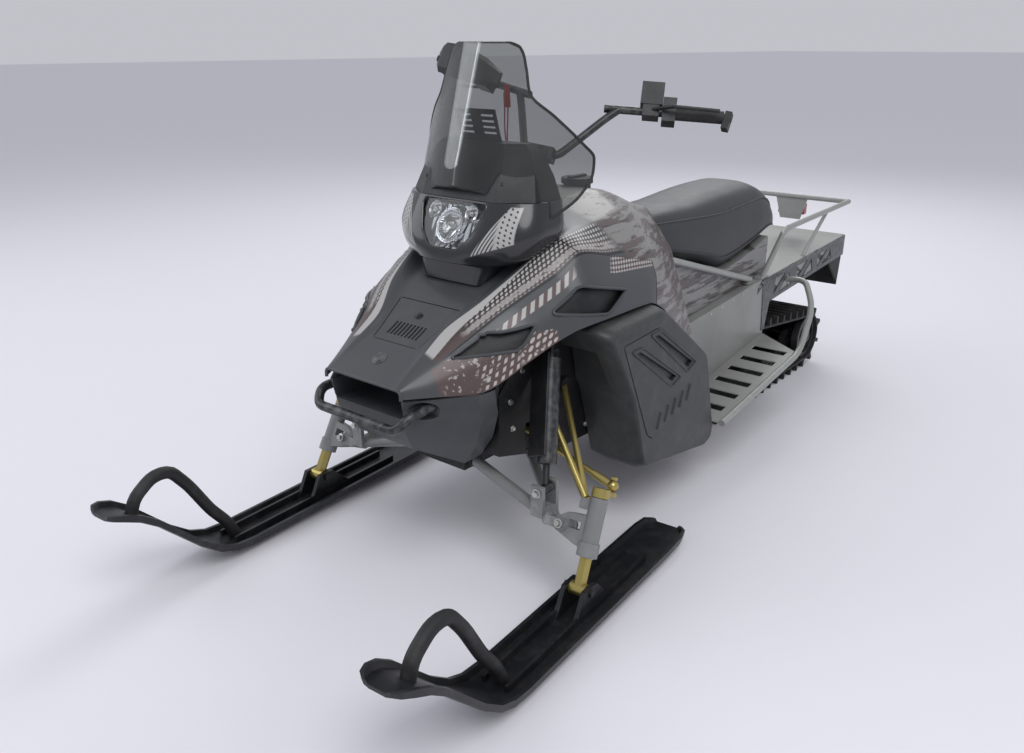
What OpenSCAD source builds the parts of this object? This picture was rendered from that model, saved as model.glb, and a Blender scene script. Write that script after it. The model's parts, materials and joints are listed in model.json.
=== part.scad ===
// Utility snowmobile with two steered skis, one wide track, a long seat and a rear rack.
// Millimetres. The nose points to -Y, the driver's left is +X, the floor is Z = 0.
// It stands as parked, with the handlebar and the skis turned a little to the left.

/* [Overall] */
// Distance between the centre lines of the two skis
ski_stance = 954; // [880:2:1030]
// Height of the windshield's top edge above the floor
shield_top = 1306; // [1180:2:1400]
// Y of the rear end of the tunnel
tunnel_rear = 1512; // [1380:2:1620]
// Left turn of the handlebar as parked, degrees
bar_turn = 16; // [0:1:20]
// Left turn of the skis as parked, degrees
ski_turn = 4; // [0:1:10]

/* [Skis] */
// Width of one ski
ski_width = 144; // [110:1:170]
// Length from the ski bolt forward to the tip
ski_nose = 683; // [560:1:740]
// Length from the ski bolt back to the tail
ski_tail = 480; // [380:1:540]
// Height of the ski tip above the floor
ski_tip_height = 264; // [180:1:320]
// Height of the ski bolt above the floor
ski_bolt_height = 86; // [70:1:110]
// Y of the ski bolt
ski_bolt_y = -830; // [-870:1:-790]
// Height of the keel bar below the ski's pan
keel_height = 18; // [10:1:26]
// Radius of the grab loop's rod
loop_rod_r = 16; // [8:0.5:18]
// Radius of the ski bolt
ski_bolt_r = 7; // [5:0.5:9]

/* [Front suspension] */
// Backward rake of the kingpin, degrees
kingpin_rake = 26; // [15:1:32]
// Inward lean of the kingpin, degrees
kingpin_lean = 4; // [0:1:8]
// Length of the spindle from the ski bolt to the top of the knuckle
spindle_length = 244; // [220:1:280]
// Radius of the kingpin inside the knuckle
kingpin_r = 13; // [10:0.5:16]
// Radius of the lower arm's tubes
lower_arm_r = 15; // [11:0.5:18]
// Radius of the upper arm's tubes
upper_arm_r = 9; // [7:0.5:12]
// Radius of the tie rod
tie_rod_r = 8; // [6:0.5:10]
// Radius of the damper's body
shock_r = 26; // [20:1:32]

/* [Body] */
// Wall thickness of the body panels
panel_wall = 8; // [5:0.5:12]
// Extra half width of the whole body
body_grow = 0; // [-12:1:12]
// Outer face of the side pans, from the centre plane
pan_face_x = 380; // [352:1:392]
// Radius of the front bumper's tube
bumper_r = 12; // [9:0.5:15]
// Y of the front bumper's straight front run
bumper_y = -1078; // [-1100:1:-1070]
// Height of the front bumper's straight front run
bumper_z = 482; // [460:1:500]
// Half width of the headlight at its top
headlight_half = 104; // [90:1:114]

/* [Windshield] */
// Thickness of the windshield
shield_wall = 3; // [2:0.5:5]
// Widest half width of the windshield
shield_half = 275; // [240:1:300]
// Lean of the windshield, millimetres back for each millimetre up
shield_lean = 0.31; // [0.2:0.01:0.4]

/* [Steering] */
// Height of the handlebar clamp
clamp_z = 1009; // [980:1:1030]
// Y of the handlebar clamp
clamp_y = -384; // [-400:1:-370]
// Rake of the steering column, degrees
column_rake = 30; // [24:1:34]
// Radius of the steering column
column_r = 13; // [10:0.5:16]
// Radius of the handlebar's tube
bar_r = 11; // [10:0.5:14]
// Half width of the handlebar
bar_half = 444; // [380:1:460]
// Length of a grip
grip_length = 130; // [110:1:140]
// Radius of a grip
grip_r = 17; // [15:0.5:19]

/* [Seat and rack] */
// Half width of the seat
seat_half = 168; // [150:1:185]
// Y of the seat's rear end
seat_rear = 912; // [850:1:940]
// Height of the seat's crest
seat_crest = 832; // [780:1:860]
// Radius of the rack's tube
rack_r = 10; // [8:0.5:13]
// Half width of the rack
rack_half = 240; // [215:1:270]
// Height of the rack's rails
rack_z = 690; // [660:1:720]
// Y of the rack's rear bar
rack_rear = 1400; // [1320:1:1440]
// Radius of the seat rail's tube
rail_r = 11; // [8:0.5:13]

/* [Tunnel and boards] */
// Half width of the tunnel, outside
tunnel_half = 206; // [200:1:215]
// Thickness of the tunnel's sheet
tunnel_wall = 3; // [2:0.5:4]
// Outer edge of the running boards, from the centre plane
board_outer = 382; // [340:1:395]
// Radius of the board's edge tube
board_tube_r = 11; // [8:0.5:14]
// Number of slots in one running board
board_slots = 6; // [4:1:8]

/* [Track] */
// Width of the track
track_width = 380; // [340:2:390]
// Thickness of the track's belt
belt = 9; // [6:0.5:12]
// Height of the track's lugs
lug = 29; // [20:1:38]
// Number of lugs around the track
lug_count = 48; // [36:1:60]
// Radius of the rear idler wheels
idler_r = 90; // [80:1:95]
// Y of the rear idler axle
idler_y = 1270; // [1180:1:1300]
// Radius of the drive sprockets
sprocket_r = 80; // [70:1:86]

/* [Hidden] */
$fn = 48;

seat_gap = 0.3;        // between pieces that rest on each other
run_gap = 0.08;        // radial play of a running pin
move_gap = 6;          // around pieces that move past others
cut = 400;             // reach of a cutting block

// Colours
dark = [0.16, 0.16, 0.17];
black = [0.05, 0.05, 0.06];
silver = [0.62, 0.63, 0.62];
zinc = [0.62, 0.52, 0.28];
steel = [0.42, 0.43, 0.44];

// ---------- helpers ----------

module both() {
    children();
    mirror([1, 0, 0]) children();
}

// Straight rod from a to b
module rod(a, b, r) {
    d = b - a;
    h = norm(d);
    translate(a)
        rotate([0, acos(d[2] / h), atan2(d[1], d[0])])
            cylinder(h = h, r = r);
}

// Bent tube of true cylinders with a ball at each corner
module pipe(p, r) {
    for (i = [0 : len(p) - 2]) rod(p[i], p[i + 1], r);
    if (len(p) > 2) for (i = [1 : len(p) - 2]) translate(p[i]) sphere(r = r + 0.3);
}

// Skin through rings that all have the same number of points
module skin(given, flip = false) {
    rings = flip ? [for (r = given) [for (j = [len(r) - 1 : -1 : 0]) r[j]]] : given;
    n = len(rings[0]);
    m = len(rings);
    side = [for (i = [0 : m - 2]) for (j = [0 : n - 1])
        [i * n + j, i * n + (j + 1) % n, (i + 1) * n + (j + 1) % n, (i + 1) * n + j]];
    first = [for (j = [0 : n - 1]) n - 1 - j];
    last = [for (j = [0 : n - 1]) (m - 1) * n + j];
    polyhedron(points = [for (r = rings) each r], faces = concat(side, [first, last]), convexity = 8);
}

// Path with each corner rounded over a distance of up to d, in n steps
function rounded(p, d, n = 5) = [p[0],
    for (i = [1 : len(p) - 2]) let (a = p[i - 1] - p[i], c = p[i + 1] - p[i],
        e = min(d, norm(a) * 0.48, norm(c) * 0.48), u = p[i] + a / norm(a) * e, v = p[i] + c / norm(c) * e)
        each [for (k = [0 : n]) let (t = k / n) u * (1 - t) * (1 - t) + p[i] * 2 * t * (1 - t) + v * t * t],
    p[len(p) - 1]];

function unit(v) = v / norm(v);

// Smooth bent tube along a path; ref is a direction that the path never points in
module sweep(p, r, ref, n = 14) {
    m = len(p);
    skin([for (i = [0 : m - 1]) let (
        t = unit((i > 0 ? unit(p[i] - p[i - 1]) : [0, 0, 0]) + (i < m - 1 ? unit(p[i + 1] - p[i]) : [0, 0, 0])),
        u = unit(cross(ref, t)), v = cross(t, u))
        [for (j = [0 : n - 1]) p[i] + u * r * cos(360 * j / n) + v * r * sin(360 * j / n)]], true);
}

// Side-view outline [y, z] given thickness from x0 to x1
module plate_x(outline, x0, x1) {
    translate([x0, 0, 0])
        rotate([90, 0, 90])
            linear_extrude(height = x1 - x0) polygon(outline);
}

// Row value at column c, by straight steps between rows of a table sorted on column 0
function at_row(t, v, c, i = 0) =
    v <= t[0][0] ? t[0][c] :
    i >= len(t) - 1 ? t[len(t) - 1][c] :
    v <= t[i + 1][0]
        ? t[i][c] + (t[i + 1][c] - t[i][c]) * (v - t[i][0]) / (t[i + 1][0] - t[i][0])
        : at_row(t, v, c, i + 1);

// ---------- body shell: hood and tank cover share one outer form ----------

// y, top z, top half, shoulder x, z, ridge x, z, flank x, z, lower edge x, z
BODY = [
    [-1052, 572, 100, 118, 572, 126, 568, 128, 560, 128, 550],
    [-985, 610, 98, 112, 614, 146, 598, 165, 575, 172, 547],
    [-900, 652, 92, 106, 664, 172, 645, 205, 600, 222, 541],
    [-785, 718, 120, 156, 742, 215, 715, 262, 668, 290, 606],
    [-690, 765, 140, 180, 796, 238, 754, 290, 700, 314, 642],
    [-634, 800, 150, 192, 826, 252, 777, 305, 720, 325, 654],
    [-560, 840, 160, 212, 856, 272, 820, 318, 745, 332, 657],
    [-450, 895, 100, 200, 862, 285, 800, 322, 730, 335, 657],
    [-330, 918, 92, 192, 870, 284, 790, 322, 720, 335, 654],
    [-257, 922, 90, 185, 868, 280, 782, 318, 712, 332, 626],
    [-200, 915, 85, 178, 858, 268, 770, 310, 690, 328, 584],
    [-100, 885, 76, 158, 836, 240, 745, 285, 640, 318, 512],
    [0, 850, 66, 132, 806, 206, 725, 246, 620, 290, 474],
    [110, 822, 50, 84, 782, 160, 700, 210, 600, 262, 468]];

function body_ring(r, t, drop) = let (g = body_grow - t) [
    [r[9] + g, r[0], r[10] - drop], [r[7] + g, r[0], r[8] - t * 0.4],
    [r[5] + g, r[0], r[6] - t * 0.6], [r[3] + g, r[0], r[4] - t],
    [r[2] + g * 0.5, r[0], r[1] - t], [-r[2] - g * 0.5, r[0], r[1] - t],
    [-r[3] - g, r[0], r[4] - t], [-r[5] - g, r[0], r[6] - t * 0.6],
    [-r[7] - g, r[0], r[8] - t * 0.4], [-r[9] - g, r[0], r[10] - drop]];

module body_form(t = 0, drop = 0) {
    skin([for (r = BODY) body_ring(r, t, drop)]);
}

module body_shell() {
    difference() {
        body_form();
        body_form(panel_wall, 30);
    }
}

// Seam between hood and tank cover, and the tank cover's rear edge, in side view
seam = [[-646, 1000], [-566, 824], [-266, 752], [-290, 640], [-290, 380]];
seam_gap = 3;
cover_rear = [[116, 1000], [116, 812], [0, 690], [30, 440], [30, 380]];

// ---------- bumper and front cover ----------

// z, front y, front half width, side y, side half width
COVER = [
    [330, -870, 90, -806, 150],
    [395, -985, 92, -812, 196],
    [470, -1032, 112, -826, 226],
    [540.7, -1041, 126, -850, 236]];
cover_back = -796.3;

module front_cover() {
    color(dark) difference() {
        skin([for (r = COVER) [
            [r[2], r[1], r[0]], [r[4], r[3] - 60, r[0]], [r[4], r[3], r[0]], [r[4] - 30, cover_back, r[0]],
            [-r[4] + 30, cover_back, r[0]], [-r[4], r[3], r[0]], [-r[4], r[3] - 60, r[0]], [-r[2], r[1], r[0]]]], true);
        // open mouth under the nose lip
        translate([-118, -1100, 492]) cube([236, 190, 60]);
        // pockets that take the ends of the bumper
        both() translate([150, -1010, 512]) rotate([90, 0, 0]) cylinder(h = 80, r = 24, center = true);
    }
}

bumper_path = [[150, -971.2, 516], [152, -1052, 512], [132, bumper_y, bumper_z], [94, bumper_y, bumper_z]];

module bumper() {
    color(black) {
        both() sweep(rounded(bumper_path, 34), bumper_r - 0.2, [0.2, 0, 1]);
        rod([-100, bumper_y, bumper_z], [100, bumper_y, bumper_z], bumper_r);
    }
}

// ---------- hood ----------

// Four-sided side vents: y and z of the corners
VENTS = [
    [[-930, 622], [-850, 670], [-742, 684], [-800, 632]],
    [[-700, 700], [-600, 752], [-430, 712], [-520, 668]]];

module hood() {
    color(dark) difference() {
        intersection() {
            body_shell();
            plate_x(concat([[-1200, 380], [-1200, 1000]], seam), -cut, cut);
        }
        // side vents
        both() for (v = VENTS) plate_x(v, 120, cut);
        // bed of the inset nose panel
        nose_block(panel_wall, 0.4);
        // room for the pod's neck
        translate([-104, -722, 740]) cube([208, 150, 160]);
    }
}

// ---------- inset nose panel ----------

nose_slope = atan((718 - 652) / 115);

module nose_block(depth, gap) {
    translate([0, -900, 652])
        rotate([nose_slope, 0, 0])
            translate([0, 0, -depth])
                linear_extrude(height = depth + 30)
                    polygon([[-74 - gap, -46 - gap], [74 + gap, -46 - gap],
                        [100 + gap, 96 + gap], [-100 - gap, 96 + gap]]);
}

module nose_panel() {
    color(dark) difference() {
        intersection() {
            nose_block(panel_wall - 1, 0);
            body_form();
        }
        // grille slots
        translate([0, -900, 652])
            rotate([nose_slope, 0, 0])
                for (i = [-4 : 4]) translate([i * 12 - 3, -22, -20]) cube([6, 44, 60]);
        // cap recess
        translate([0, -900, 652])
            rotate([nose_slope, 0, 0])
                translate([0, 52, -3]) cylinder(h = 40, r = 12);
    }
}

// ---------- headlight pod, dash and windshield ----------

// z, front y, front half, side y, side half, rear y
POD = [
    [745, -744, 96, -700, 98, -584],
    [792, -746, 100, -700, 130, -580],
    [800, -774, 62, -712, 170, -570],
    [832, -770, 108, -704, 206, -560],
    [880, -750, 132, -690, 226, -550],
    [946, -716, 128, -660, 214, -540]];

function pod_ring(r) = [
    [r[2], r[1], r[0]], [r[4], r[3], r[0]], [r[4], r[5], r[0]],
    [-r[4], r[5], r[0]], [-r[4], r[3], r[0]], [-r[2], r[1], r[0]]];

module headlight_block(gap, depth) {
    // z, front y, half width
    lamp = [[828 - gap, -772, 44 + gap], [870, -752, 84 + gap], [926, -722, headlight_half + gap],
        [944 + gap, -712, headlight_half - 2 + gap]];
    skin([for (r = lamp) [[r[2], r[1] - 40, r[0]], [r[2], r[1] + depth, r[0]],
        [-r[2], r[1] + depth, r[0]], [-r[2], r[1] - 40, r[0]]]], true);
}

module headlight_pod() {
    color(black) difference() {
        skin([for (r = POD) pod_ring(r)], true);
        headlight_block(0.4, 66);
        pod_clear();
        column_clear();
    }
}

// What the pod leaves for the hood and tank cover below it
module pod_clear() {
    difference() {
        body_form(-0.4, 0);
        translate([-98, -716, 700]) cube([196, 132, 200]);
    }
    translate([0, 0, -panel_wall - 1]) intersection() {
        body_form(0, 0);
        translate([-98, -716, 700]) cube([196, 132, 200]);
    }
}

module headlight() {
    color([0.75, 0.77, 0.8]) intersection() {
        headlight_block(0, 65.4);
        skin([for (r = POD) pod_ring(r)], true);
    }
}

// z, front y, front half, side y, side half, rear y
DASH = [
    [946.3, -712, 118, -654, 200, -552],
    [1000, -686, 116, -636, 184, -560],
    [1052, -656, 106, -618, 160, -572],
    [1076, -640, 92, -612, 136, -586]];

module dash() {
    color(black) {
        difference() {
            skin([for (r = DASH) pod_ring(r)], true);
            column_clear();
            // recess of the instrument face, towards the driver
            translate([-90, -580, 975]) rotate([-20, 0, 0]) cube([180, 40, 64]);
        }
        // gauge
        translate([0, -586, 1004]) rotate([-110, 0, 0]) cylinder(h = 12, r = 30);
        // slotted plate standing on the dash
        difference() {
            translate([-66, -618, 1075]) rotate([18, 0, 0]) cube([132, 3, 82]);
            for (i = [0 : 3]) for (s = [-1, 1])
                translate([s * 36 - 20, -680, 1094 + i * 14]) cube([40, 100, 5]);
        }
    }
}

// Windshield outline: z below the top edge as a share of its height, half width as a share
SHIELD = [
    [1.00, 0.30], [0.97, 0.38], [0.72, 0.52], [0.60, 0.71], [0.45, 0.91], [0.37, 0.99],
    [0.28, 1.00], [0.16, 0.95], [0.06, 0.84], [-0.02, 0.70]];
shield_low = 892;
shield_centre_z = 962;
shield_curve = 0.0024;
function shield_y(x, z) = -726 + (z - 953) * shield_lean + shield_curve * x * x;

module windshield() {
    steps = 22;
    h = shield_top - shield_low;
    edge = [for (r = SHIELD) [r[1] * shield_half, shield_low + r[0] * h]];
    low = [[150, shield_low + 14], [118, shield_centre_z], [-118, shield_centre_z], [-150, shield_low + 14]];
    outline = concat(edge, low, [for (i = [len(edge) - 1 : -1 : 0]) [-edge[i][0], edge[i][1]]]);
    color([0.25, 0.25, 0.24, 0.5]) difference() {
        intersection() {
            skin([for (i = [0 : steps]) let (x = -300 + 600 * i / steps) [
                [x, shield_y(x, 1340), 1340], [x, shield_y(x, 1340) + shield_wall, 1340],
                [x, shield_y(x, 860) + shield_wall, 860], [x, shield_y(x, 860), 860]]]);
            translate([0, 0, 0]) rotate([90, 0, 0]) linear_extrude(height = 900) polygon(outline);
        }
        // kept clear of the body, the lamp and the dash
        body_form(-0.6, 0);
        skin([for (r = POD) pod_ring([r[0], r[1] - 0.5, r[2] + 0.5, r[3] - 0.5, r[4] + 0.5, r[5]])], true);
        skin([for (r = DASH) pod_ring([r[0] + (r[0] < 950 ? -1 : 0.5), r[1] - 0.6, r[2] + 0.6,
            r[3] - 0.6, r[4] + 0.6, r[5] + 0.6])], true);
    }
}

// ---------- side pans ----------

PAN = [[-590, 634], [-560, 646], [-318, 649.1], [-300, 640], [-42, 452], [-30, 430], [46, 168], [38, 140],
    [0, 126], [-372, 190], [-396, 206], [-462, 420]];
pan_centre = [-270, 400];

function pan_ring(x, k) = [for (p = PAN)
    [x, pan_centre[0] + (p[0] - pan_centre[0]) * k, pan_centre[1] + (p[1] - pan_centre[1]) * k]];

module pan_block() {
    skin([pan_ring(tunnel_half + seat_gap, 0.97), pan_ring(260, 1), pan_ring(pan_face_x - 46, 1),
        pan_ring(pan_face_x - 14, 0.965), pan_ring(pan_face_x, 0.91)]);
}

module side_pans() {
    color(dark) both() difference() {
        pan_block();
        // bed of the inset access panel
        translate([0, 0, 0]) plate_x(panel_outline(1.5), pan_face_x - 10, pan_face_x + 1);
        // room for the damper and the arms' sweep at the front
        plate_x([[-700, 300], [-700, 600], [-500, 560], [-470, 420], [-440, 300]], 0, 320);
    }
}

PANEL = [[-520, 590], [-346, 600], [-120, 444], [-86, 352], [-150, 318], [-348, 280], [-380, 300]];

function panel_outline(g) = [for (p = PANEL) let (c = [-290, 430], d = p - c) c + d * (1 + g / norm(d))];

module access_panels() {
    color(dark) both() difference() {
        plate_x(panel_outline(0), pan_face_x - 9.6, pan_face_x + 2);
        // two long slanted vents
        for (s = [[[-470, 556], [-440, 556], [-238, 432], [-262, 424]],
                  [[-380, 580], [-350, 580], [-150, 452], [-172, 440]]])
            plate_x(s, pan_face_x - 20, pan_face_x + 10);
    }
}

// ---------- bulkhead, engine ----------

bulk_outline = [[-796, 336], [-796, 500], [-700, 596], [-360, 596], [-300, 470], [-156, 436], [-96, 436], [-96, 300],
    [-300, 262], [-560, 270]];
bulk_face = tunnel_half - tunnel_wall - seat_gap;

module bulkhead() {
    color(black) difference() {
        union() {
            both() plate_x(bulk_outline, bulk_face - 5, bulk_face);
            // front wall, floor and rear wall
            translate([-bulk_face, -796, 336]) cube([2 * bulk_face, 5, 160]);
            translate([-bulk_face, -560, 270]) cube([2 * bulk_face, 260, 5]);
            // top bridges
            for (y = [-690, -640]) translate([-bulk_face, y, 572]) cube([2 * bulk_face, 30, 20]);
            // block that holds the foot of the steering column
            translate([-34, -690, 572]) cube([68, 80, 44]);
            // keel beam between the lower arms, with its front plate
            translate([-keel_face, -791, keel_low]) cube([2 * keel_face, 255, 50]);
            translate([-keel_face, -796, keel_low]) cube([2 * keel_face, 5, 80]);
            // hinge bosses of the arms
            both() for (p = [BOSSES[0], BOSSES[1]]) translate([keel_face - 1, p[0], p[1]])
                rotate([0, 90, 0]) cylinder(h = 16, r = 20);
            both() for (p = [BOSSES[2], BOSSES[3]]) translate([bulk_face - 1, p[0], p[1]])
                rotate([0, 90, 0]) cylinder(h = 16, r = 20);
        }
        // windows in the side plates that let the tie rods through
        plate_x([[-690, 316], [-690, 392], [-590, 392], [-590, 316]], -cut, cut);
        // bearing of the steering column
        column_hole(column_r + run_gap);
    }
}

// y and z of the arms' inner pivots
BOSSES = [[-768, 288], [-560, 288], [-628, 456], [-536, 456]];
// half width and underside of the beam that carries the lower arms
keel_face = 85;
keel_low = 262;

module engine() {
    color(steel) translate([-150, -530, 275 + seat_gap]) cube([300, 270, 285]);
}

// ---------- steering column frame ----------

module column_frame() {
    translate([0, clamp_y, clamp_z]) rotate([-column_rake, 0, 0]) children();
}

column_length = 470;

module column_hole(r) {
    column_frame() translate([0, 0, -column_length - 2]) cylinder(h = column_length + 40, r = r);
}

module column_clear() {
    column_hole(column_r + move_gap);
}

// ---------- handlebar ----------

// Left half of the bar in the column's frame: x out, y back, z up the column
bar_in = [112, 60, 196];
grip_out = [bar_half - 24, 122, 256];
grip_dir = (grip_out - bar_in) / norm(grip_out - bar_in);
grip_in = grip_out - grip_dir * grip_length;
riser = [[0, 0, 16], [48, 2, 18], [128, 54, 168], bar_in + grip_dir * 40, bar_in + grip_dir * 56];

module bar_frame() {
    column_frame() rotate([0, 0, bar_turn]) children();
}

module handlebar() {
    color(black) bar_frame() {
        translate([0, 0, -column_length]) cylinder(h = column_length + 4, r = column_r);
        // clamp block
        translate([-40, -20, 0]) cube([80, 40, 34]);
        both() {
            sweep(rounded(riser, 30), bar_r - 0.3, [0, 1, 0]);
            rod(bar_in, grip_out + grip_dir * 22, bar_r);
        }
    }
}

module grips() {
    color([0.03, 0.03, 0.03]) bar_frame() both() difference() {
        rod(grip_in, grip_out, grip_r);
        rod(grip_in - grip_dir * 10, grip_out + grip_dir * 10, bar_r + 0.12);
    }
}

// Blocks on the bar beside a grip: along, size along, across, up, offset up
module on_bar(s) {
    translate(grip_in - grip_dir * s)
        rotate([0, -asin(grip_dir[2]), atan2(grip_dir[1], grip_dir[0])]) children();
}

module controls() {
    color(black) bar_frame() difference() {
        union() {
            // left: brake clamp with its fluid box, switch block and lever
            on_bar(64) translate([-22, -22, -18]) cube([44, 42, 36]);
            on_bar(64) translate([-30, -24, 14]) cube([60, 48, 62]);
            on_bar(14) translate([-19, -24, -30]) cube([36, 46, 66]);
            rod(grip_in - grip_dir * 56 + [0, -20, 0], grip_in + [6, -48, 0], 5);
            rod(grip_in + [6, -48, 0], grip_out + [-6, -40, 0], 5);
            translate(grip_in + [6, -48, 0]) sphere(r = 5.6);
            // bracket at the left bar end
            translate(grip_out + grip_dir * 12 + [-9, -14, -34]) cube([18, 28, 48]);
            // right: throttle block and lever
            mirror([1, 0, 0]) {
                on_bar(20) translate([-26, -26, -24]) cube([50, 50, 52]);
                rod(grip_in - grip_dir * 4 + [0, 14, -18], grip_in + grip_dir * 70 + [0, 46, -20], 4);
                translate(grip_out + grip_dir * 12 + [-9, -14, -20]) cube([18, 28, 34]);
            }
        }
        both() rod(bar_in, grip_out + grip_dir * 60, bar_r + 0.15);
        both() rod(grip_in - grip_dir * 0.3, grip_out + grip_dir * 0.3, grip_r + 0.3);
    }
}

// Right-hand guard: share along the grip, y ahead, low z, high z
GUARD = [[-0.72, -52, -26, 22], [-0.3, -74, -40, 40], [0.4, -88, -48, 52], [0.95, -80, -44, 48], [1.16, -50, -24, 30]];

module hand_guard() {
    span = grip_out - grip_in;
    color(black) bar_frame() mirror([1, 0, 0]) {
        skin([for (g = GUARD) let (p = grip_in + span * g[0]) [
            [p[0], p[1] + g[1] + 12, p[2] + g[2]], [p[0], p[1] + g[1], p[2] + g[2] * 0.7],
            [p[0], p[1] + g[1] - 4, p[2] + g[3] * 0.6], [p[0], p[1] + g[1] + 10, p[2] + g[3]],
            [p[0], p[1] + g[1] + 14, p[2] + g[3] - 4], [p[0], p[1] + g[1] + 2, p[2] + g[3] * 0.5],
            [p[0], p[1] + g[1] + 5, p[2] + g[2] * 0.6], [p[0], p[1] + g[1] + 16, p[2] + g[2] + 3]]]);
        // stay from the bar end
        translate(grip_out + grip_dir * 12 + [-6, -62, -10]) cube([12, 48 - seat_gap, 16]);
    }
}

// ---------- tank cover ----------

module tank_cover() {
    color([0.36, 0.35, 0.34]) difference() {
        intersection() {
            body_shell();
            translate([0, seam_gap, 0])
                plate_x(concat(seam, [[cut, 380], [cut, 1000]]), -cut, cut);
            plate_x(concat([[-900, 380], [-900, 1000]], cover_rear), -cut, cut);
        }
        column_clear();
        translate([0, -200, 850]) cylinder(h = 100, r = 40);
        seat_form(0.6);
    }
}

module fuel_cap() {
    color(black) {
        translate([0, -200, 880]) cylinder(h = 46, r = 40 - seat_gap);
        translate([0, -200, 926]) cylinder(h = 16, r = 46);
        translate([-8, -238, 942]) cube([16, 76, 6]);
    }
}

// ---------- seat ----------

// y, top z, underside z, share of the half width
SEAT = [
    [92, 806, 672, 0.66], [200, 812, 644, 0.80], [350, 818, 604, 0.92], [462, 826, 572, 0.98],
    [590, 832, 590, 1.00], [720, 832, 620, 0.99], [800, 810, 640, 0.95], [868, 752, 648, 0.88],
    [912, 674, 652, 0.78]];

module seat_form(g = 0) {
    s = seat_crest - 832;
    k = (seat_rear - 92) / 820;
    skin([for (r = SEAT) let (y = 92 + (r[0] - 92) * k - g, w = seat_half * r[3] + g, h = r[1] + s + g, d = h - r[2]) [
        [w * 0.82, y, r[2] - g], [w, y, r[2] + d * 0.16], [w * 0.97, y, h - d * 0.34],
        [w * 0.72, y, h - d * 0.08], [w * 0.3, y, h], [-w * 0.3, y, h],
        [-w * 0.72, y, h - d * 0.08], [-w * 0.97, y, h - d * 0.34], [-w, y, r[2] + d * 0.16],
        [-w * 0.82, y, r[2] - g]]]);
}

module seat() color([0.13, 0.13, 0.14]) seat_form();

function tunnel_top(y) = at_row([[-150, 440], [173, 458], [630, 491], [1512, 533]], y, 1);
base_half = 172;

module seat_base() {
    color([0.4, 0.39, 0.38])
        plate_x([[37, tunnel_top(37) + seat_gap], [10, 676], [92, 671.6], [200, 643.6], [350, 603.6],
            [462, 571.6], [590, 589.6], [720, 619.6], [790, 637.1], [790, tunnel_top(790) + seat_gap],
            [630, tunnel_top(630) + seat_gap], [173, tunnel_top(173) + seat_gap]],
            -base_half, base_half);
}

rail_x = base_half + rail_r + seat_gap;

module seat_rails() {
    color(silver) both() {
        rod([rail_x, 14, 690], [rail_x, 634, 504], rail_r);
        translate([rail_x - 10, 600, tunnel_top(660) + seat_gap]) cube([20, 60, 6]);
        rod([118, 812, tunnel_top(842) + seat_gap], [118, 812, 639.9], 9);
        translate([98, 790.6, tunnel_top(842) + seat_gap]) cube([40, 50, 5]);
    }
}

// ---------- tunnel, plates, boards ----------

board_front = 52;
board_z = 190;
board_rise = 0.13;
function board_at(y) = board_z + (y - board_front) * board_rise;

tunnel_side = [[-150, 440], [173, 458], [630, 491], [tunnel_rear, 533], [tunnel_rear, 446], [770, 396],
    [736, 282], [board_front - 8, 184], [-150, 300]];

module tunnel() {
    color(silver) {
        both() plate_x(tunnel_side, tunnel_half - tunnel_wall, tunnel_half);
        plate_x([[-150, 440], [173, 458], [630, 491], [tunnel_rear, 533], [tunnel_rear, 533 - tunnel_wall],
            [630, 491 - tunnel_wall], [173, 458 - tunnel_wall], [-150, 440 - tunnel_wall]],
            -tunnel_half + 1, tunnel_half - 1);
    }
}

module rear_plates() {
    // triangle windows: y of the corners and share of the band's height
    windows = [[[800, 0.2], [900, 0.8], [810, 0.82]], [[850, 0.14], [960, 0.22], [930, 0.74]],
        [[1010, 0.2], [1110, 0.8], [1000, 0.8]], [[1050, 0.16], [1170, 0.2], [1150, 0.76]],
        [[1220, 0.2], [1310, 0.78], [1212, 0.8]], [[1256, 0.18], [1370, 0.24], [1344, 0.74]]];
    function band(y, f) = let (lo = at_row([[736, 300], [770, 397], [1512, 447]], y, 1), hi = tunnel_top(y) - 2)
        [y, lo + (hi - lo) * f];
    color([0.2, 0.2, 0.21]) both() difference() {
        plate_x([band(700, 1), band(tunnel_rear - 2, 1), band(tunnel_rear - 2, 0), [772, 398],
            [744, 300], [722, 292]], tunnel_half + seat_gap, tunnel_half + 3);
        for (w = windows) plate_x([for (p = w) band(p[0], p[1])], tunnel_half - 1, tunnel_half + 5);
    }
}

module running_boards() {
    inner = tunnel_half + seat_gap;
    color(silver) both() difference() {
        translate([0, board_front, board_z])
            rotate([atan(board_rise), 0, 0])
                linear_extrude(height = 4)
                    polygon([[inner, 0], [board_outer, 0], [board_outer, 590], [inner, 690]]);
        for (i = [0 : board_slots - 1]) let (y = board_front + 70 + i * 560 / board_slots)
            translate([inner + 26, y, board_z - 20]) cube([board_outer - inner - 52, 34, 160]);
    }
}

module board_tubes() {
    x = board_outer + board_tube_r + seat_gap;
    color(silver) both() sweep(rounded([[x, board_front + 2, board_z + 3], [x, 640, board_at(640) + 4],
        [x - 30, 800, 396], [x - 110, 912, 462], [tunnel_half + 3.3, 920, 454]], 60), board_tube_r, [0, 0.3, 1]);
}

// ---------- rack, tail light, flap ----------

module rack() {
    foot = [tunnel_half - 14, 712, tunnel_top(716) - 8];
    color(silver) difference() {
        union() {
            rack_tubes(foot);
        }
        // the tunnel's top
        plate_x([[600, 300], [1500, 300], [1500, tunnel_top(1500) + seat_gap], [640, tunnel_top(640) + seat_gap]],
            -tunnel_half - 4, tunnel_half + 4);
    }
}

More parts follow.
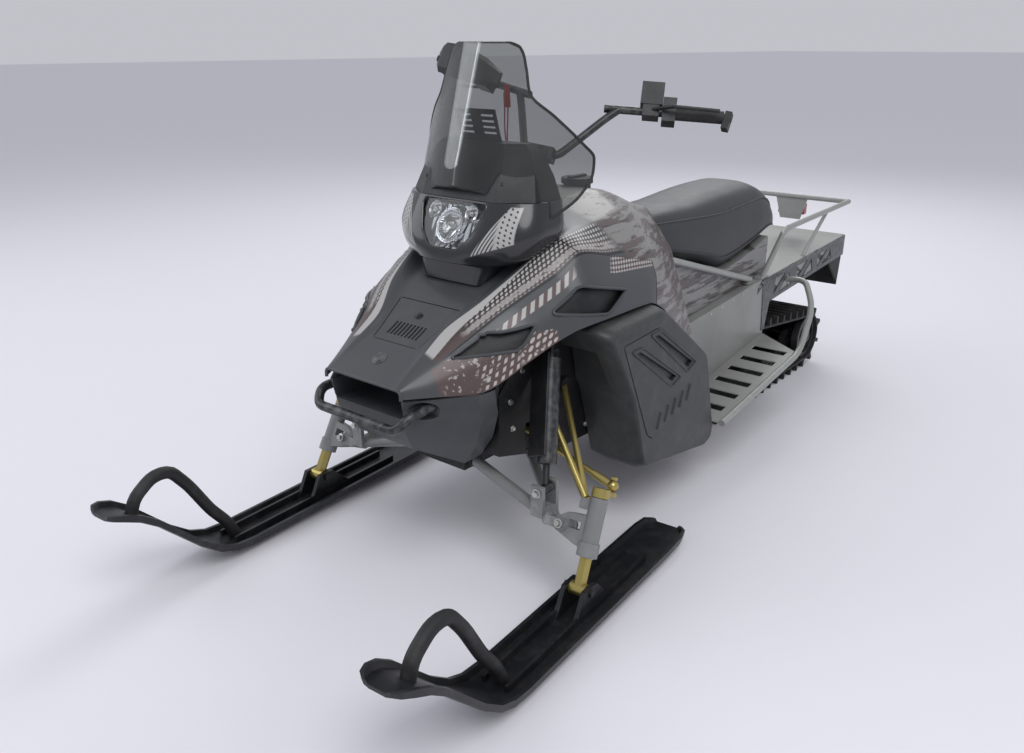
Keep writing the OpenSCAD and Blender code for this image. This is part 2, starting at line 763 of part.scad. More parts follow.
module rack_tubes(foot) {
    union() {
        both() {
            pipe([foot, [rack_half - 4, 764, rack_z - 34], [rack_half, 800, rack_z - 16],
                [rack_half, rack_rear, rack_z]], rack_r);
            translate([tunnel_half - 30, 690, tunnel_top(700)]) cube([28, 60, 8]);
            // rear stay
            rod([rack_half - 6, 1190, rack_z - 8], [tunnel_half - 16, 1084, tunnel_top(1090) - 10], rack_r - 3);
            translate([rack_half, rack_rear, rack_z]) sphere(r = rack_r + 0.3);
        }
        rod([-rack_half, rack_rear, rack_z], [rack_half, rack_rear, rack_z], rack_r);
        // lamp bracket below the rear bar
        translate([0, rack_rear + 2, 0]) rotate([90, 0, 0]) linear_extrude(height = 4)
            polygon([[-70, rack_z - 4], [70, rack_z - 4], [44, rack_z - 96], [-44, rack_z - 96]]);
    }
}

module tail_light() {
    color([0.5, 0.03, 0.03])
        translate([-58, rack_rear + 2 + seat_gap, rack_z - 76]) cube([116, 30, 46]);
}

module snow_flap() {
    flap_half = tunnel_half - tunnel_wall - seat_gap;
    color(black) {
        skin([for (r = [[-5, 529.2], [-6, 430], [-20, 316]]) [
            [flap_half, tunnel_rear + r[0] - 6, r[1]], [flap_half, tunnel_rear + r[0], r[1]],
            [-flap_half, tunnel_rear + r[0], r[1]], [-flap_half, tunnel_rear + r[0] - 6, r[1]]]]);
        both() plate_x([[tunnel_rear - 150, 442], [tunnel_rear - 12, 444], [tunnel_rear - 24, 330]],
            flap_half - 8, flap_half);
    }
}

// ---------- track ----------

// Circles that the belt's inner face runs around: y, z, radius
track_floor = lug + belt;
WHEELS = [[-24, 300, sprocket_r], [idler_y, track_floor + idler_r, idler_r], [330, track_floor + 95, 95]];

// Belt path, with the outward angle at each end of each arc
function run_angle(a, b) = let (d = [b[0] - a[0], b[1] - a[1]], l = norm(d))
    atan2(d[1], d[0]) + 90 - asin((b[2] - a[2]) / l) + 2 * asin((b[2] - a[2]) / l);
function arc_in(i) = run_angle(WHEELS[(i + 2) % 3], WHEELS[i]);
function arc_out(i) = run_angle(WHEELS[i], WHEELS[(i + 1) % 3]);
function turn(i) = let (t = arc_in(i) - arc_out(i)) t < 0 ? t + 360 : t;
function spot(i, a, off) = [WHEELS[i][0] + (WHEELS[i][2] + off) * cos(a), WHEELS[i][1] + (WHEELS[i][2] + off) * sin(a)];
function arc_len(i) = turn(i) * PI / 180 * WHEELS[i][2];
function run_len(i) = norm(spot((i + 1) % 3, arc_in((i + 1) % 3), 0) - spot(i, arc_out(i), 0));
loop_len = arc_len(0) + run_len(0) + arc_len(1) + run_len(1) + arc_len(2) + run_len(2);

// Point at distance s around the loop, off away from the belt's inner face
function along(s, off, i = 0) =
    s <= arc_len(i) ? spot(i, arc_in(i) - s / WHEELS[i][2] * 180 / PI, off) :
    s <= arc_len(i) + run_len(i)
        ? let (f = (s - arc_len(i)) / run_len(i))
            spot(i, arc_out(i), off) * (1 - f) + spot((i + 1) % 3, arc_in((i + 1) % 3), off) * f :
    i == 2 ? spot(0, arc_in(0), off) : along(s - arc_len(i) - run_len(i), off, i + 1);

module track() {
    pitch = loop_len / lug_count;
    outer = [for (k = [0 : lug_count - 1]) each [
        along(k * pitch + 0.1, belt), along(k * pitch + pitch * 0.42, belt),
        along(k * pitch + pitch * 0.46, belt + lug), along(k * pitch + pitch * 0.62, belt + lug),
        along(k * pitch + pitch * 0.68, belt), along(k * pitch + pitch * 0.84, belt)]];
    inner = [for (k = [0 : lug_count * 6 - 1]) along(k * pitch / 6 + 0.1, 0)];
    color([0.04, 0.04, 0.04]) difference() {
        plate_x(outer, -track_width / 2, track_width / 2);
        plate_x(inner, -track_width, track_width);
    }
}

module wheel_x(y, z, r, x0, x1) {
    translate([x0, y, z]) rotate([0, 90, 0]) cylinder(h = x1 - x0, r = r);
}

module rear_idlers() {
    y = idler_y;
    z = track_floor + idler_r;
    color(black) {
        both() difference() {
            wheel_x(y, z, idler_r - 0.8, 150, 178);
            wheel_x(y, z, idler_r - 20, 166, 180);
            for (a = [0 : 60 : 300]) rotate([0, 0, 0])
                wheel_x(y + 48 * cos(a), z + 48 * sin(a), 12, 140, 190);
        }
        both() wheel_x(y, z, 24, 166, 186);
        wheel_x(y, z, idler_r - 0.8, -14, 14);
        wheel_x(y, z, 12, -186, 186);
    }
}

module slide_rails() {
    z = track_floor - 1.6;
    color(black) both() difference() {
        union() {
            plate_x([[330, z + 2], [1240, z + 2], [1240, z + 30], [1300, z + 60], [1300, z + 112], [1240, z + 112],
                [1170, z + 40], [330, z + 40], [252, z + 82], [236, z + 60]], 84, 104);
            wheel_x(1000, z + 31, 29, 116, 140);
        }
        wheel_x(idler_y, track_floor + idler_r, 12 + run_gap, 60, 120);
    }
    color(steel) {
        wheel_x(1000, z + 31, 8, -146, 146);
        // swing arms up to the tunnel's sides
        for (p = [[[180, 300], [520, z + 26]], [[560, 286], [930, z + 26]]]) {
            both() rod([70, p[0][0], p[0][1]], [70, p[1][0], p[1][1]], 10);
            wheel_x(p[0][0], p[0][1], 14, -tunnel_half + tunnel_wall + seat_gap, tunnel_half - tunnel_wall - seat_gap);
            wheel_x(p[1][0], p[1][1], 12, -106, 106);
        }
        // damper of the rear suspension
        rod([0, 560, 286], [0, 560, 286] + [0, 250, -160], 18);
    }
}

module drive_axle() {
    color(steel) {
        wheel_x(WHEELS[0][0], WHEELS[0][1], 16, -tunnel_half + tunnel_wall + seat_gap, tunnel_half - tunnel_wall - seat_gap);
        both() wheel_x(WHEELS[0][0], WHEELS[0][1], sprocket_r - 0.8, 60, 90);
    }
}

// ---------- front suspension ----------

half_stance = ski_stance / 2;
bolt = [half_stance, ski_bolt_y, ski_bolt_height];
// Unit vector up the kingpin, left side
king = [-tan(kingpin_lean), tan(kingpin_rake), 1] / norm([-tan(kingpin_lean), tan(kingpin_rake), 1]);

// Left spindle's frame: z up the kingpin, turned with the skis; s is 1 for left and -1 for right
module king_frame(s) {
    d = [s * king[0], king[1], king[2]];
    translate([s * bolt[0], bolt[1], bolt[2]])
        rotate([-kingpin_rake, 0, 0]) rotate([0, -s * atan(tan(kingpin_lean) * cos(kingpin_rake)), 0]) children();
}

knuckle_low = 84;
knuckle_top = spindle_length - 24;
stud_r = 5;
tie_ball_r = 15;
tie_up = knuckle_top + 16 + seat_gap + tie_ball_r;
// World point of a point in the left king_frame
function on_king(p) = let (r = kingpin_rake, l = atan(tan(kingpin_lean) * cos(kingpin_rake)),
    b = [p[0] * cos(l) - p[2] * sin(l), p[1], p[0] * sin(l) + p[2] * cos(l)])
    bolt + [b[0], b[1] * cos(r) + b[2] * sin(r), -b[1] * sin(r) + b[2] * cos(r)];

// Lower arm's pivot, the cross tube behind it, and their height up the kingpin
arm_pin_x = -74;
arm_pin_r = 8;
arm_pin_z = 138;
arm_tube_x = -114;
arm_cheek = 14;
wing_half = 16;
ball_up = bolt + king * (knuckle_top - 16) + [-34, 8, -4];
shock_foot = [bolt[0] - 150, bolt[1] + 62, bolt[2] + 193];
shock_head = [226, -618, 584];

module knuckles() {
    color(steel) for (s = [1, -1]) difference() {
        union() {
            king_frame(s) translate([0, 0, knuckle_low]) cylinder(h = knuckle_top - knuckle_low, r = 22);
            king_frame(s) translate([0, 0, knuckle_low - 6]) cylinder(h = 34, r = 26);
            // wing to the lower arm, with a window
            king_frame(s) scale_x(s) difference() {
                translate([-96, -wing_half, knuckle_low + 46])
                    rotate([-90, 0, 0]) linear_extrude(height = 2 * wing_half)
                        polygon([[0, 8], [0, -24], [30, -40], [96, -44], [96, 40], [60, 30]]);
                translate([-60, -40, knuckle_low + 50]) cube([34, 80, 20]);
            }
            // upper ear
            king_frame(s) scale_x(s) translate([-44, -12, knuckle_top - 34]) cube([44, 24, 26]);
        }
        king_frame(s) cylinder(h = 400, r = kingpin_r + run_gap);
        // bore of the lower arm's pin, and the upper arm's ball seat
        scale_x(s) rod(on_king([arm_pin_x, -60, arm_pin_z]), on_king([arm_pin_x, 60, arm_pin_z]), arm_pin_r + run_gap);
        scale_x(s) translate(ball_up) sphere(r = 13 + seat_gap);
        scale_x(s) rod(ball_up, ball_up + [-60, 34, 46], 12);
    }
}

module scale_x(s) {
    if (s > 0) children();
    else mirror([1, 0, 0]) children();
}

module spindle(s) {
    color(zinc) king_frame(s) rotate([0, 0, ski_turn]) {
        // kingpin, leg and cap
        cylinder(h = spindle_length, r = kingpin_r);
        cylinder(h = knuckle_low - 8, r = 16, $fn = 6);
        // steering arm above the knuckle
        translate([0, 0, knuckle_top + 2]) cylinder(h = 22, r = 22);
        rotate([0, 0, s > 0 ? 8 : -8]) translate([-9, 0, knuckle_top + 4]) cube([18, 84, 12]);
        rotate([0, 0, s > 0 ? 8 : -8]) translate([0, 84, knuckle_top + 4]) cylinder(h = 12, r = 14);
        // stud and nut of the tie rod's ball
        rotate([0, 0, s > 0 ? 8 : -8]) translate([0, 84, knuckle_top + 4]) cylinder(h = 50, r = stud_r);
        rotate([0, 0, s > 0 ? 8 : -8]) translate([0, 84, tie_up + tie_ball_r + seat_gap]) cylinder(h = 7, r = 9, $fn = 6);
    }
    // barrel on the ski bolt
    color(zinc) ski_frame(s) difference() {
        rotate([0, 90, 0]) cylinder(h = 41, r = 17, center = true);
        rotate([0, 90, 0]) cylinder(h = 60, r = ski_bolt_r + run_gap, center = true);
    }
}

module spindle_left() difference() {
    spindle(1);
    ski_frame(1) rotate([0, 90, 0]) cylinder(h = 60, r = ski_bolt_r + run_gap, center = true);
}
module spindle_right() difference() {
    spindle(-1);
    ski_frame(-1) rotate([0, 90, 0]) cylinder(h = 60, r = ski_bolt_r + run_gap, center = true);
}

module arm_pair(outer, front, rear, r) {
    rod(outer, front, r);
    rod(outer, rear, r);
    translate(outer) sphere(r = r);
}

// Keeps the arms off the bosses' faces
module boss_cut() {
    translate([0, -900, 200]) cube([bulk_face + 15 + seat_gap, 500, 400]);
}

module lower_arms() {
    front = [keel_face + 4, BOSSES[0][0], BOSSES[0][1]];
    rear = [keel_face + 4, BOSSES[1][0], BOSSES[1][1]];
    color(steel) both() difference() {
        union() {
            rod(on_king([arm_tube_x, -8, arm_pin_z + 2]), front, lower_arm_r);
            rod(on_king([arm_tube_x, 16, arm_pin_z + 2]), rear, lower_arm_r - 2);
            // outer fork and its pin
            rod(on_king([arm_tube_x, -30, arm_pin_z]), on_king([arm_tube_x, 30, arm_pin_z]), 13);
            king_frame(1) for (y = [-wing_half - seat_gap - arm_cheek, wing_half + seat_gap])
                translate([arm_tube_x - 4, y, arm_pin_z - 12]) cube([56, arm_cheek, 24]);
            rod(on_king([arm_pin_x, -38, arm_pin_z]), on_king([arm_pin_x, 38, arm_pin_z]), arm_pin_r);
            // shock mount on the front tube
            for (y = [-34, 22]) translate(shock_foot + [-20, y, -62]) cube([36, 12, 78]);
            translate(shock_foot + [-20, -34, -66]) cube([36, 68, 18]);
            rod(shock_foot + [0, -36, 0], shock_foot + [0, 36, 0], 7);
        }
        translate([0, -900, 200]) cube([keel_face + 15 + seat_gap, 500, 200]);
    }
}

module upper_arms() {
    color(zinc) both() difference() {
        union() {
            rod(ball_up + [-6, 0, 0], [bulk_face + 6, BOSSES[2][0], BOSSES[2][1]], upper_arm_r);
            rod(ball_up + [-8, 3, 0], [bulk_face + 6, BOSSES[3][0], BOSSES[3][1]], upper_arm_r - 1);
            translate(ball_up) sphere(r = 13);
        }
        boss_cut();
    }
}

shock_axis = (shock_head - shock_foot) / norm(shock_head - shock_foot);

module shocks() {
    color(black) both() difference() {
        union() {
            rod(shock_foot + shock_axis * 6, shock_foot + shock_axis * 150, 9);
            rod(shock_foot + shock_axis * 60, shock_head - shock_axis * 30, shock_r);
            rod(shock_head - shock_axis * 40, shock_head, 12);
            rod(shock_foot + [0, -20, 0], shock_foot + [0, 20, 0], 13);
            // top pin into the bulkhead
            rod([bulk_face + seat_gap, shock_head[1], shock_head[2] - 16], [shock_head[0] + 16, shock_head[1], shock_head[2] - 16], 14);
        }
        rod(shock_foot + [0, -40, 0], shock_foot + [0, 40, 0], 7 + run_gap);
    }
}

// Plate that covers the front of each damper
module shock_covers() {
    h = norm(shock_head - shock_foot);
    color([0.03, 0.03, 0.03]) both() difference() {
        translate(shock_foot)
            rotate([0, acos(shock_axis[2]), atan2(shock_axis[1], shock_axis[0])])
                rotate([0, 0, -20 - atan2(shock_axis[1], shock_axis[0])])
                    translate([-37, -shock_r - 6 - seat_gap, 76]) cube([74, 6, h - 96]);
        translate([0, -900, 300]) cube([bulk_face + 0.6, 500, 400]);
    }
}

// ---------- tie rods ----------

tie_inner = [60, -640, 380];

function king_point(x, y, z) = let (r = kingpin_rake, l = atan(tan(kingpin_lean) * cos(kingpin_rake)), t = ski_turn,
    a = [x * cos(t) - y * sin(t), x * sin(t) + y * cos(t), z],
    b = [a[0] * cos(l) - a[2] * sin(l), a[1], a[0] * sin(l) + a[2] * cos(l)])
    bolt + [b[0], b[1] * cos(r) + b[2] * sin(r), -b[1] * sin(r) + b[2] * cos(r)];

function tie_end(s) = let (t = 8)
    s > 0 ? king_point(-84 * sin(t), 84 * cos(t), tie_up)
    : king_point_r(84 * sin(t), 84 * cos(t), tie_up);
function king_point_r(x, y, z) = let (r = kingpin_rake, l = -atan(tan(kingpin_lean) * cos(kingpin_rake)), t = ski_turn,
    a = [x * cos(t) - y * sin(t), x * sin(t) + y * cos(t), z],
    b = [a[0] * cos(l) - a[2] * sin(l), a[1], a[0] * sin(l) + a[2] * cos(l)])
    [-bolt[0], bolt[1], bolt[2]] + [b[0], b[1] * cos(r) + b[2] * sin(r), -b[1] * sin(r) + b[2] * cos(r)];

module tie_rod(s) {
    e = tie_end(s);
    i = [s * tie_inner[0], tie_inner[1], tie_inner[2]];
    d = (i - e) / norm(i - e);
    k = [s * king[0], king[1], king[2]];
    color(zinc) difference() {
        union() {
            rod(e + d * 10, i, tie_rod_r);
            translate(e) sphere(r = tie_ball_r);
            rod(e + d * 8, e + d * 60, tie_rod_r + 3);
            translate(i) sphere(r = 13);
        }
        rod(e - k * 20, e + k * 20, stud_r + run_gap);
    }
}

// ---------- skis ----------

// Ski's frame: origin at its bolt, turned with the spindle
module ski_frame(s) {
    translate([s * bolt[0], bolt[1], bolt[2]]) rotate([0, 0, ski_turn]) children();
}

// share of the nose or tail length (nose negative), height of the pan's underside as a share of
// the tip's height, share of the half width
SKI = [
    [-1.00, 0.930, 0.48], [-0.985, 0.920, 0.70], [-0.95, 0.890, 0.86], [-0.90, 0.830, 0.94],
    [-0.84, 0.710, 0.98], [-0.76, 0.490, 1.00], [-0.68, 0.270, 1.00], [-0.60, 0.100, 1.00],
    [-0.53, 0.022, 1.00], [-0.45, 0.000, 1.00], [0.70, 0.000, 1.00], [0.88, 0.006, 0.98], [0.96, 0.018, 0.88], [1.00, 0.030, 0.62]];

module ski_body() {
    w = ski_width / 2;
    base = keel_height - ski_bolt_height;
    rise = ski_tip_height - keel_height - 14;
    rings = [for (r = SKI) let (
        y = r[0] < 0 ? r[0] * ski_nose : r[0] * ski_tail,
        z = base + r[1] / 0.93 * rise, k = w * r[2], rim = 24 * min(1, r[2] + 0.1)) [
        [-k, y, z + rim], [-k + 3, y, z + 4], [-k + 14, y, z], [k - 14, y, z], [k - 3, y, z + 4],
        [k, y, z + rim], [k - 9, y, z + rim], [k - 14, y, z + 9], [-k + 14, y, z + 9], [-k + 9, y, z + rim]]];
    skin(rings);
    // keel
    plate_x([[-0.43 * ski_nose, -ski_bolt_height], [-0.48 * ski_nose, base + 3], [0.9 * ski_tail, base + 3],
        [0.82 * ski_tail, -ski_bolt_height]], -7, 7);
    // saddle cheeks on both sides of the spindle's barrel
    for (x = [-33, 21])
        plate_x([[-70, base + 6], [120, base + 6], [80, base + 32], [26, 14], [-26, 14], [-50, base + 36]], x, x + 12);
    // long ribs
    for (x = [-34, 26]) translate([x, -0.5 * ski_nose, base + 6]) cube([8, 0.5 * ski_nose + 0.6 * ski_tail, 22]);
    rotate([0, 90, 0]) cylinder(h = 76, r = ski_bolt_r, center = true);
    for (x = [-39, 33]) translate([x, 0, 0]) rotate([0, 90, 0]) cylinder(h = 6, r = 11, $fn = 6);
}

// Everything from the top of the ski's floor down, raised by gap
module ski_fill(gap) {
    base = keel_height - ski_bolt_height;
    rise = ski_tip_height - keel_height - 14;
    skin([for (r = SKI) let (y = r[0] < 0 ? r[0] * ski_nose : r[0] * ski_tail,
        z = base + r[1] / 0.93 * rise + 9 + gap) [[-60, y, z], [-60, y, z - 80], [60, y, z - 80], [60, y, z]]]);
}

// y from the bolt and height above the floor of the grab loop's bends
LOOP = [[-608, 212], [-592, 262], [-536, 300], [-486, 296], [-440, 236], [-384, 140], [-338, 82], [-308, 16]];

module ski_loop_body() {
    sweep(rounded([for (p = LOOP) [0, p[0], p[1] - ski_bolt_height]], 22, 3), loop_rod_r, [1, 0, 0]);
}

module ski_left() color(black) ski_frame(1) ski_body();
module ski_right() color(black) ski_frame(-1) ski_body();
module loop_trim(s) color([0.03, 0.03, 0.03]) ski_frame(s) difference() {
    ski_loop_body();
    ski_fill(seat_gap);
}
module ski_loop_left() loop_trim(1);
module ski_loop_right() loop_trim(-1);
module tie_rod_left() tie_rod(1);
module tie_rod_right() tie_rod(-1);

// ---------- the parts ----------

bulkhead();
engine();
front_cover();
bumper();
hood();
nose_panel();
headlight_pod();
headlight();
windshield();
dash();
side_pans();
access_panels();
lower_arms();
upper_arms();
shocks();
shock_covers();
knuckles();
tank_cover();
fuel_cap();
seat_base();
seat();
seat_rails();
tunnel();
rear_plates();
running_boards();
board_tubes();
rack();
tail_light();
snow_flap();
track();
rear_idlers();
slide_rails();
drive_axle();
spindle_left();
spindle_right();
ski_left();
ski_right();
ski_loop_left();
ski_loop_right();
tie_rod_left();
tie_rod_right();
handlebar();
grips();
controls();
hand_guard();
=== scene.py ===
import bpy, bmesh, json, math
import numpy as np
from mathutils import Vector, Matrix


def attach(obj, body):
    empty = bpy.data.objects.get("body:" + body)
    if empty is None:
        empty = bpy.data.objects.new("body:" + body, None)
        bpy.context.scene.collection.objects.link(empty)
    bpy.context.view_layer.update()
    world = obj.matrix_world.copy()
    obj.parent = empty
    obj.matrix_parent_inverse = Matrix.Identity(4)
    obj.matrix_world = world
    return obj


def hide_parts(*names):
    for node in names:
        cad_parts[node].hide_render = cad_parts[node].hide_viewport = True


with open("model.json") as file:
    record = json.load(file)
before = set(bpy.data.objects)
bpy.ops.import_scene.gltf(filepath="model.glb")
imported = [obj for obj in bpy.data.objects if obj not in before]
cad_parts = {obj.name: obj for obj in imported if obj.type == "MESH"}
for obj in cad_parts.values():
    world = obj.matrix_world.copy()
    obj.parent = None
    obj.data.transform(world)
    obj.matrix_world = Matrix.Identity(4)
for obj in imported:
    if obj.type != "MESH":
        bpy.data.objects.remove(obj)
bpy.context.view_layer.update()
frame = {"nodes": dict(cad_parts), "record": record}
RECORD = frame["record"]
BODY_OF = {n: b for b, ns in RECORD["behaviour"]["bodies"].items() for n in ns}
SLOT_OF = {s["node"]: s["material_slot"] for s in RECORD["subparts"]}
scene = bpy.context.scene
MM = 0.001

# ---------------------------------------------------------------- node helpers

class Tree:
    """Small wrapper that writes shader expressions."""
    def __init__(self, name):
        self.mat = bpy.data.materials.new(name)
        self.mat.use_nodes = True
        self.nt = self.mat.node_tree
        self.bsdf = self.nt.nodes["Principled BSDF"]
        self.co = self.nt.nodes.new("ShaderNodeTexCoord").outputs["Object"]

    def put(self, socket, v):
        if isinstance(v, bpy.types.NodeSocket):
            self.nt.links.new(v, socket)
        elif isinstance(v, (tuple, list)) and len(v) == 3 and socket.type == "RGBA":
            socket.default_value = (*v, 1)
        else:
            socket.default_value = v

    def m(self, op, a, b=0.0, c=0.0, clamp=False):
        n = self.nt.nodes.new("ShaderNodeMath")
        n.operation, n.use_clamp = op, clamp
        for i, v in enumerate((a, b, c)):
            self.put(n.inputs[i], v)
        return n.outputs[0]

    def mix(self, f, a, b):
        n = self.nt.nodes.new("ShaderNodeMix")
        n.data_type = "RGBA"
        self.put(n.inputs[0], f)
        self.put(n.inputs[6], a)
        self.put(n.inputs[7], b)
        return n.outputs[2]

    def vec(self, v, scale=(1, 1, 1), rot=(0, 0, 0), loc=(0, 0, 0)):
        n = self.nt.nodes.new("ShaderNodeMapping")
        self.put(n.inputs[0], v)
        n.inputs["Location"].default_value = loc
        n.inputs["Rotation"].default_value = rot
        n.inputs["Scale"].default_value = scale
        return n.outputs[0]

    def noise(self, v, scale, detail=4.0, rough=0.55):
        n = self.nt.nodes.new("ShaderNodeTexNoise")
        self.put(n.inputs["Vector"], v)
        n.inputs["Scale"].default_value = scale
        n.inputs["Detail"].default_value = detail
        n.inputs["Roughness"].default_value = rough
        return n.outputs[0]

    def xyz(self, v):
        n = self.nt.nodes.new("ShaderNodeSeparateXYZ")
        self.put(n.inputs[0], v)
        return n.outputs

    def step(self, v, edge, soft=0.02):
        """0 below edge, 1 above it."""
        n = self.nt.nodes.new("ShaderNodeMapRange")
        self.put(n.inputs[0], v)
        n.inputs[1].default_value = edge - soft
        n.inputs[2].default_value = edge + soft
        return n.outputs[0]

    def band(self, v, lo, hi, soft=0.02):
        return self.m("MULTIPLY", self.step(v, lo, soft), self.m("SUBTRACT", 1.0, self.step(v, hi, soft)))

    def finish(self, color, rough=0.5, metal=0.0, grain=0.1, grain_scale=700, tone=0.12, wear=0.0,
               coat=0.0, dirt=0.0):
        co = self.co
        big = self.noise(co, 7.0, 5.0)
        fine = self.noise(co, grain_scale, 2.0)
        shade = self.m("ADD", 1 - tone / 2, self.m("MULTIPLY", big, tone))
        c = self.nt.nodes.new("ShaderNodeVectorMath")
        c.operation = "SCALE"
        if isinstance(color, (tuple, list)):
            rgb = self.nt.nodes.new("ShaderNodeRGB")
            rgb.outputs[0].default_value = (*color, 1)
            color = rgb.outputs[0]
        self.nt.links.new(color, c.inputs[0])
        self.nt.links.new(shade, c.inputs["Scale"])
        out = c.outputs[0]
        if wear:
            geo = self.nt.nodes.new("ShaderNodeNewGeometry")
            edge = self.m("MULTIPLY", self.step(geo.outputs["Pointiness"], 0.54, 0.03),
                          self.step(self.noise(co, 60.0), 0.5, 0.1))
            out = self.mix(self.m("MULTIPLY", edge, wear), out, (0.5, 0.5, 0.5))
        if dirt:
            d = self.m("MULTIPLY", self.step(self.noise(co, 18.0, 8.0, 0.7), 0.56, 0.08), dirt)
            out = self.mix(d, out, (0.30, 0.29, 0.28))
        self.put(self.bsdf.inputs["Base Color"], out)
        self.put(self.bsdf.inputs["Metallic"], metal)
        r = self.m("ADD", rough - 0.06, self.m("MULTIPLY", self.noise(co, 30.0, 6.0), 0.12))
        self.put(self.bsdf.inputs["Roughness"], r)
        if coat:
            self.bsdf.inputs["Coat Weight"].default_value = coat
            self.bsdf.inputs["Coat Roughness"].default_value = 0.06
        if grain:
            b = self.nt.nodes.new("ShaderNodeBump")
            b.inputs["Strength"].default_value = grain
            b.inputs["Distance"].default_value = 0.0006
            self.nt.links.new(fine, b.inputs["Height"])
            self.nt.links.new(b.outputs[0], self.bsdf.inputs["Normal"])
        return self.mat

def srgb(*c):
    return tuple(((v / 255 + 0.055) / 1.055) ** 2.4 if v > 10 else v / 255 / 12.92 for v in c)

def plain(name, rgb, **k):
    return Tree(name).finish(srgb(*rgb), **k)

CHARCOAL = srgb(66, 68, 71)
SILVER = srgb(172, 170, 168)
BROWN = srgb(84, 68, 66)

# ---------------------------------------------------------------- materials

charcoal = plain("charcoal_plastic", (66, 68, 71), rough=0.42, grain=0.25, tone=0.1, dirt=0.04)
pan_mat = plain("pan_plastic", (52, 54, 54), rough=0.46, grain=0.35, tone=0.12, dirt=0.06)
black_plastic = plain("black_plastic", (27, 28, 30), rough=0.45, grain=0.4, tone=0.2, dirt=0.05)
ski_plastic = plain("ski_plastic", (20, 21, 25), rough=0.4, grain=0.5, tone=0.3, dirt=0.05)
gloss = plain("black_gloss", (33, 34, 37), rough=0.2, grain=0.04, coat=0.5)
black_steel = plain("black_steel", (30, 31, 34), rough=0.34, grain=0.2, wear=0.15)
inner_black = plain("inner_black", (12, 13, 16), rough=0.5, grain=0.2, dirt=0.03)
grey_steel = plain("grey_steel", (128, 130, 130), rough=0.38, metal=0.2, grain=0.15, wear=0.3, dirt=0.12)
silver_steel = plain("silver_steel", (152, 154, 150), rough=0.36, metal=0.25, grain=0.15, wear=0.2)
cast = plain("cast_block", (104, 106, 106), rough=0.55, metal=0.6, grain=0.9, grain_scale=260)
dark_sheet = plain("dark_sheet", (62, 64, 66), rough=0.4, grain=0.2, wear=0.2)
zinc = plain("zinc_steel", (176, 160, 96), rough=0.3, metal=0.85, grain=0.1, tone=0.3, dirt=0.1)
bright = plain("bright_zinc", (190, 190, 186), rough=0.28, metal=0.9, grain=0.1, tone=0.25)
rubber = plain("black_rubber", (30, 30, 32), rough=0.62, grain=0.7, grain_scale=400, tone=0.3, dirt=0.06)
track_rubber = plain("track_rubber", (31, 30, 30), rough=0.68, grain=0.8, grain_scale=300, tone=0.3, dirt=0.1)
red_mat = plain("red_plastic", (150, 20, 22), rough=0.3, grain=0.05)

def tunnel_material():
    t = Tree("silver_sheet")
    y, z = t.xyz(t.co)[1], t.xyz(t.co)[2]
    brushed = t.noise(t.vec(t.co, (60, 1.5, 60)), 20.0, 3.0)
    c = t.mix(t.m("MULTIPLY", brushed, 0.35), srgb(140, 141, 138), srgb(170, 170, 166))
    blot = t.step(t.noise(t.co, 4.0, 6.0), 0.55, 0.1)
    c = t.mix(t.m("MULTIPLY", blot, 0.35), c, srgb(120, 118, 114))
    # broken dark chevrons on the upright sides only
    x = t.m("ABSOLUTE", t.xyz(t.co)[0])
    zig = t.m("ABSOLUTE", t.m("SUBTRACT", t.m("FRACT", t.m("MULTIPLY", y, 4.2)), 0.5))
    level = t.m("SUBTRACT", z, t.m("ADD", t.m("MULTIPLY", y, 0.045), t.m("ADD", 0.375, t.m("MULTIPLY", zig, 0.14))))
    chevron = t.m("MULTIPLY", t.band(level, 0.0, 0.030, 0.0015), t.band(y, 0.66, 1.42, 0.002))
    rag = t.step(t.noise(t.vec(t.co, (1, 1, 5), (-0.3, 0, 0)), 16.0, 5.0), 0.36, 0.02)
    chevron = t.m("MULTIPLY", t.m("MULTIPLY", chevron, rag), t.step(x, 0.2052, 0.0002))
    c = t.mix(chevron, c, srgb(46, 46, 48))
    return t.finish(c, rough=0.42, metal=0.25, grain=0.15)
silver_sheet = tunnel_material()

def vinyl_material():
    t = Tree("seat_vinyl")
    v = t.nt.nodes.new("ShaderNodeTexVoronoi")
    v.inputs["Scale"].default_value = 520
    t.nt.links.new(t.co, v.inputs["Vector"])
    t.finish(srgb(58, 59, 61), rough=0.46, grain=0, tone=0.16)
    b = t.nt.nodes.new("ShaderNodeBump")
    b.inputs["Strength"].default_value = 0.35
    b.inputs["Distance"].default_value = 0.0008
    h = t.m("ADD", v.outputs[0], t.m("MULTIPLY", t.noise(t.co, 26.0, 3.0), 1.6))
    t.nt.links.new(h, b.inputs["Height"])
    t.nt.links.new(b.outputs[0], t.bsdf.inputs["Normal"])
    return t.mat
vinyl = vinyl_material()

def chrome_material():
    t = Tree("chrome")
    return t.finish((0.82, 0.83, 0.84), rough=0.13, metal=1.0, grain=0.15, grain_scale=90, tone=0.15)
chrome = chrome_material()

def lens_material(name, rgb, alpha, rough=0.03):
    """Clear plastic: part glossy film, part see-through."""
    t = Tree(name)
    nt = t.nt
    clear = nt.nodes.new("ShaderNodeBsdfTransparent")
    clear.inputs[0].default_value = (*rgb, 1)
    gl = nt.nodes.new("ShaderNodeBsdfGlossy")
    gl.inputs["Roughness"].default_value = rough
    gl.inputs["Color"].default_value = (1, 1, 1, 1)
    f = nt.nodes.new("ShaderNodeFresnel")
    f.inputs[0].default_value = 1.45
    fac = t.m("ADD", t.m("MULTIPLY", f.outputs[0], 0.9), t.m("MULTIPLY", t.noise(t.co, 9.0, 5.0), alpha), clamp=True)
    mix = nt.nodes.new("ShaderNodeMixShader")
    nt.links.new(fac, mix.inputs[0])
    nt.links.new(clear.outputs[0], mix.inputs[1])
    nt.links.new(gl.outputs[0], mix.inputs[2])
    nt.links.new(mix.outputs[0], nt.nodes["Material Output"].inputs[0])
    return t.mat
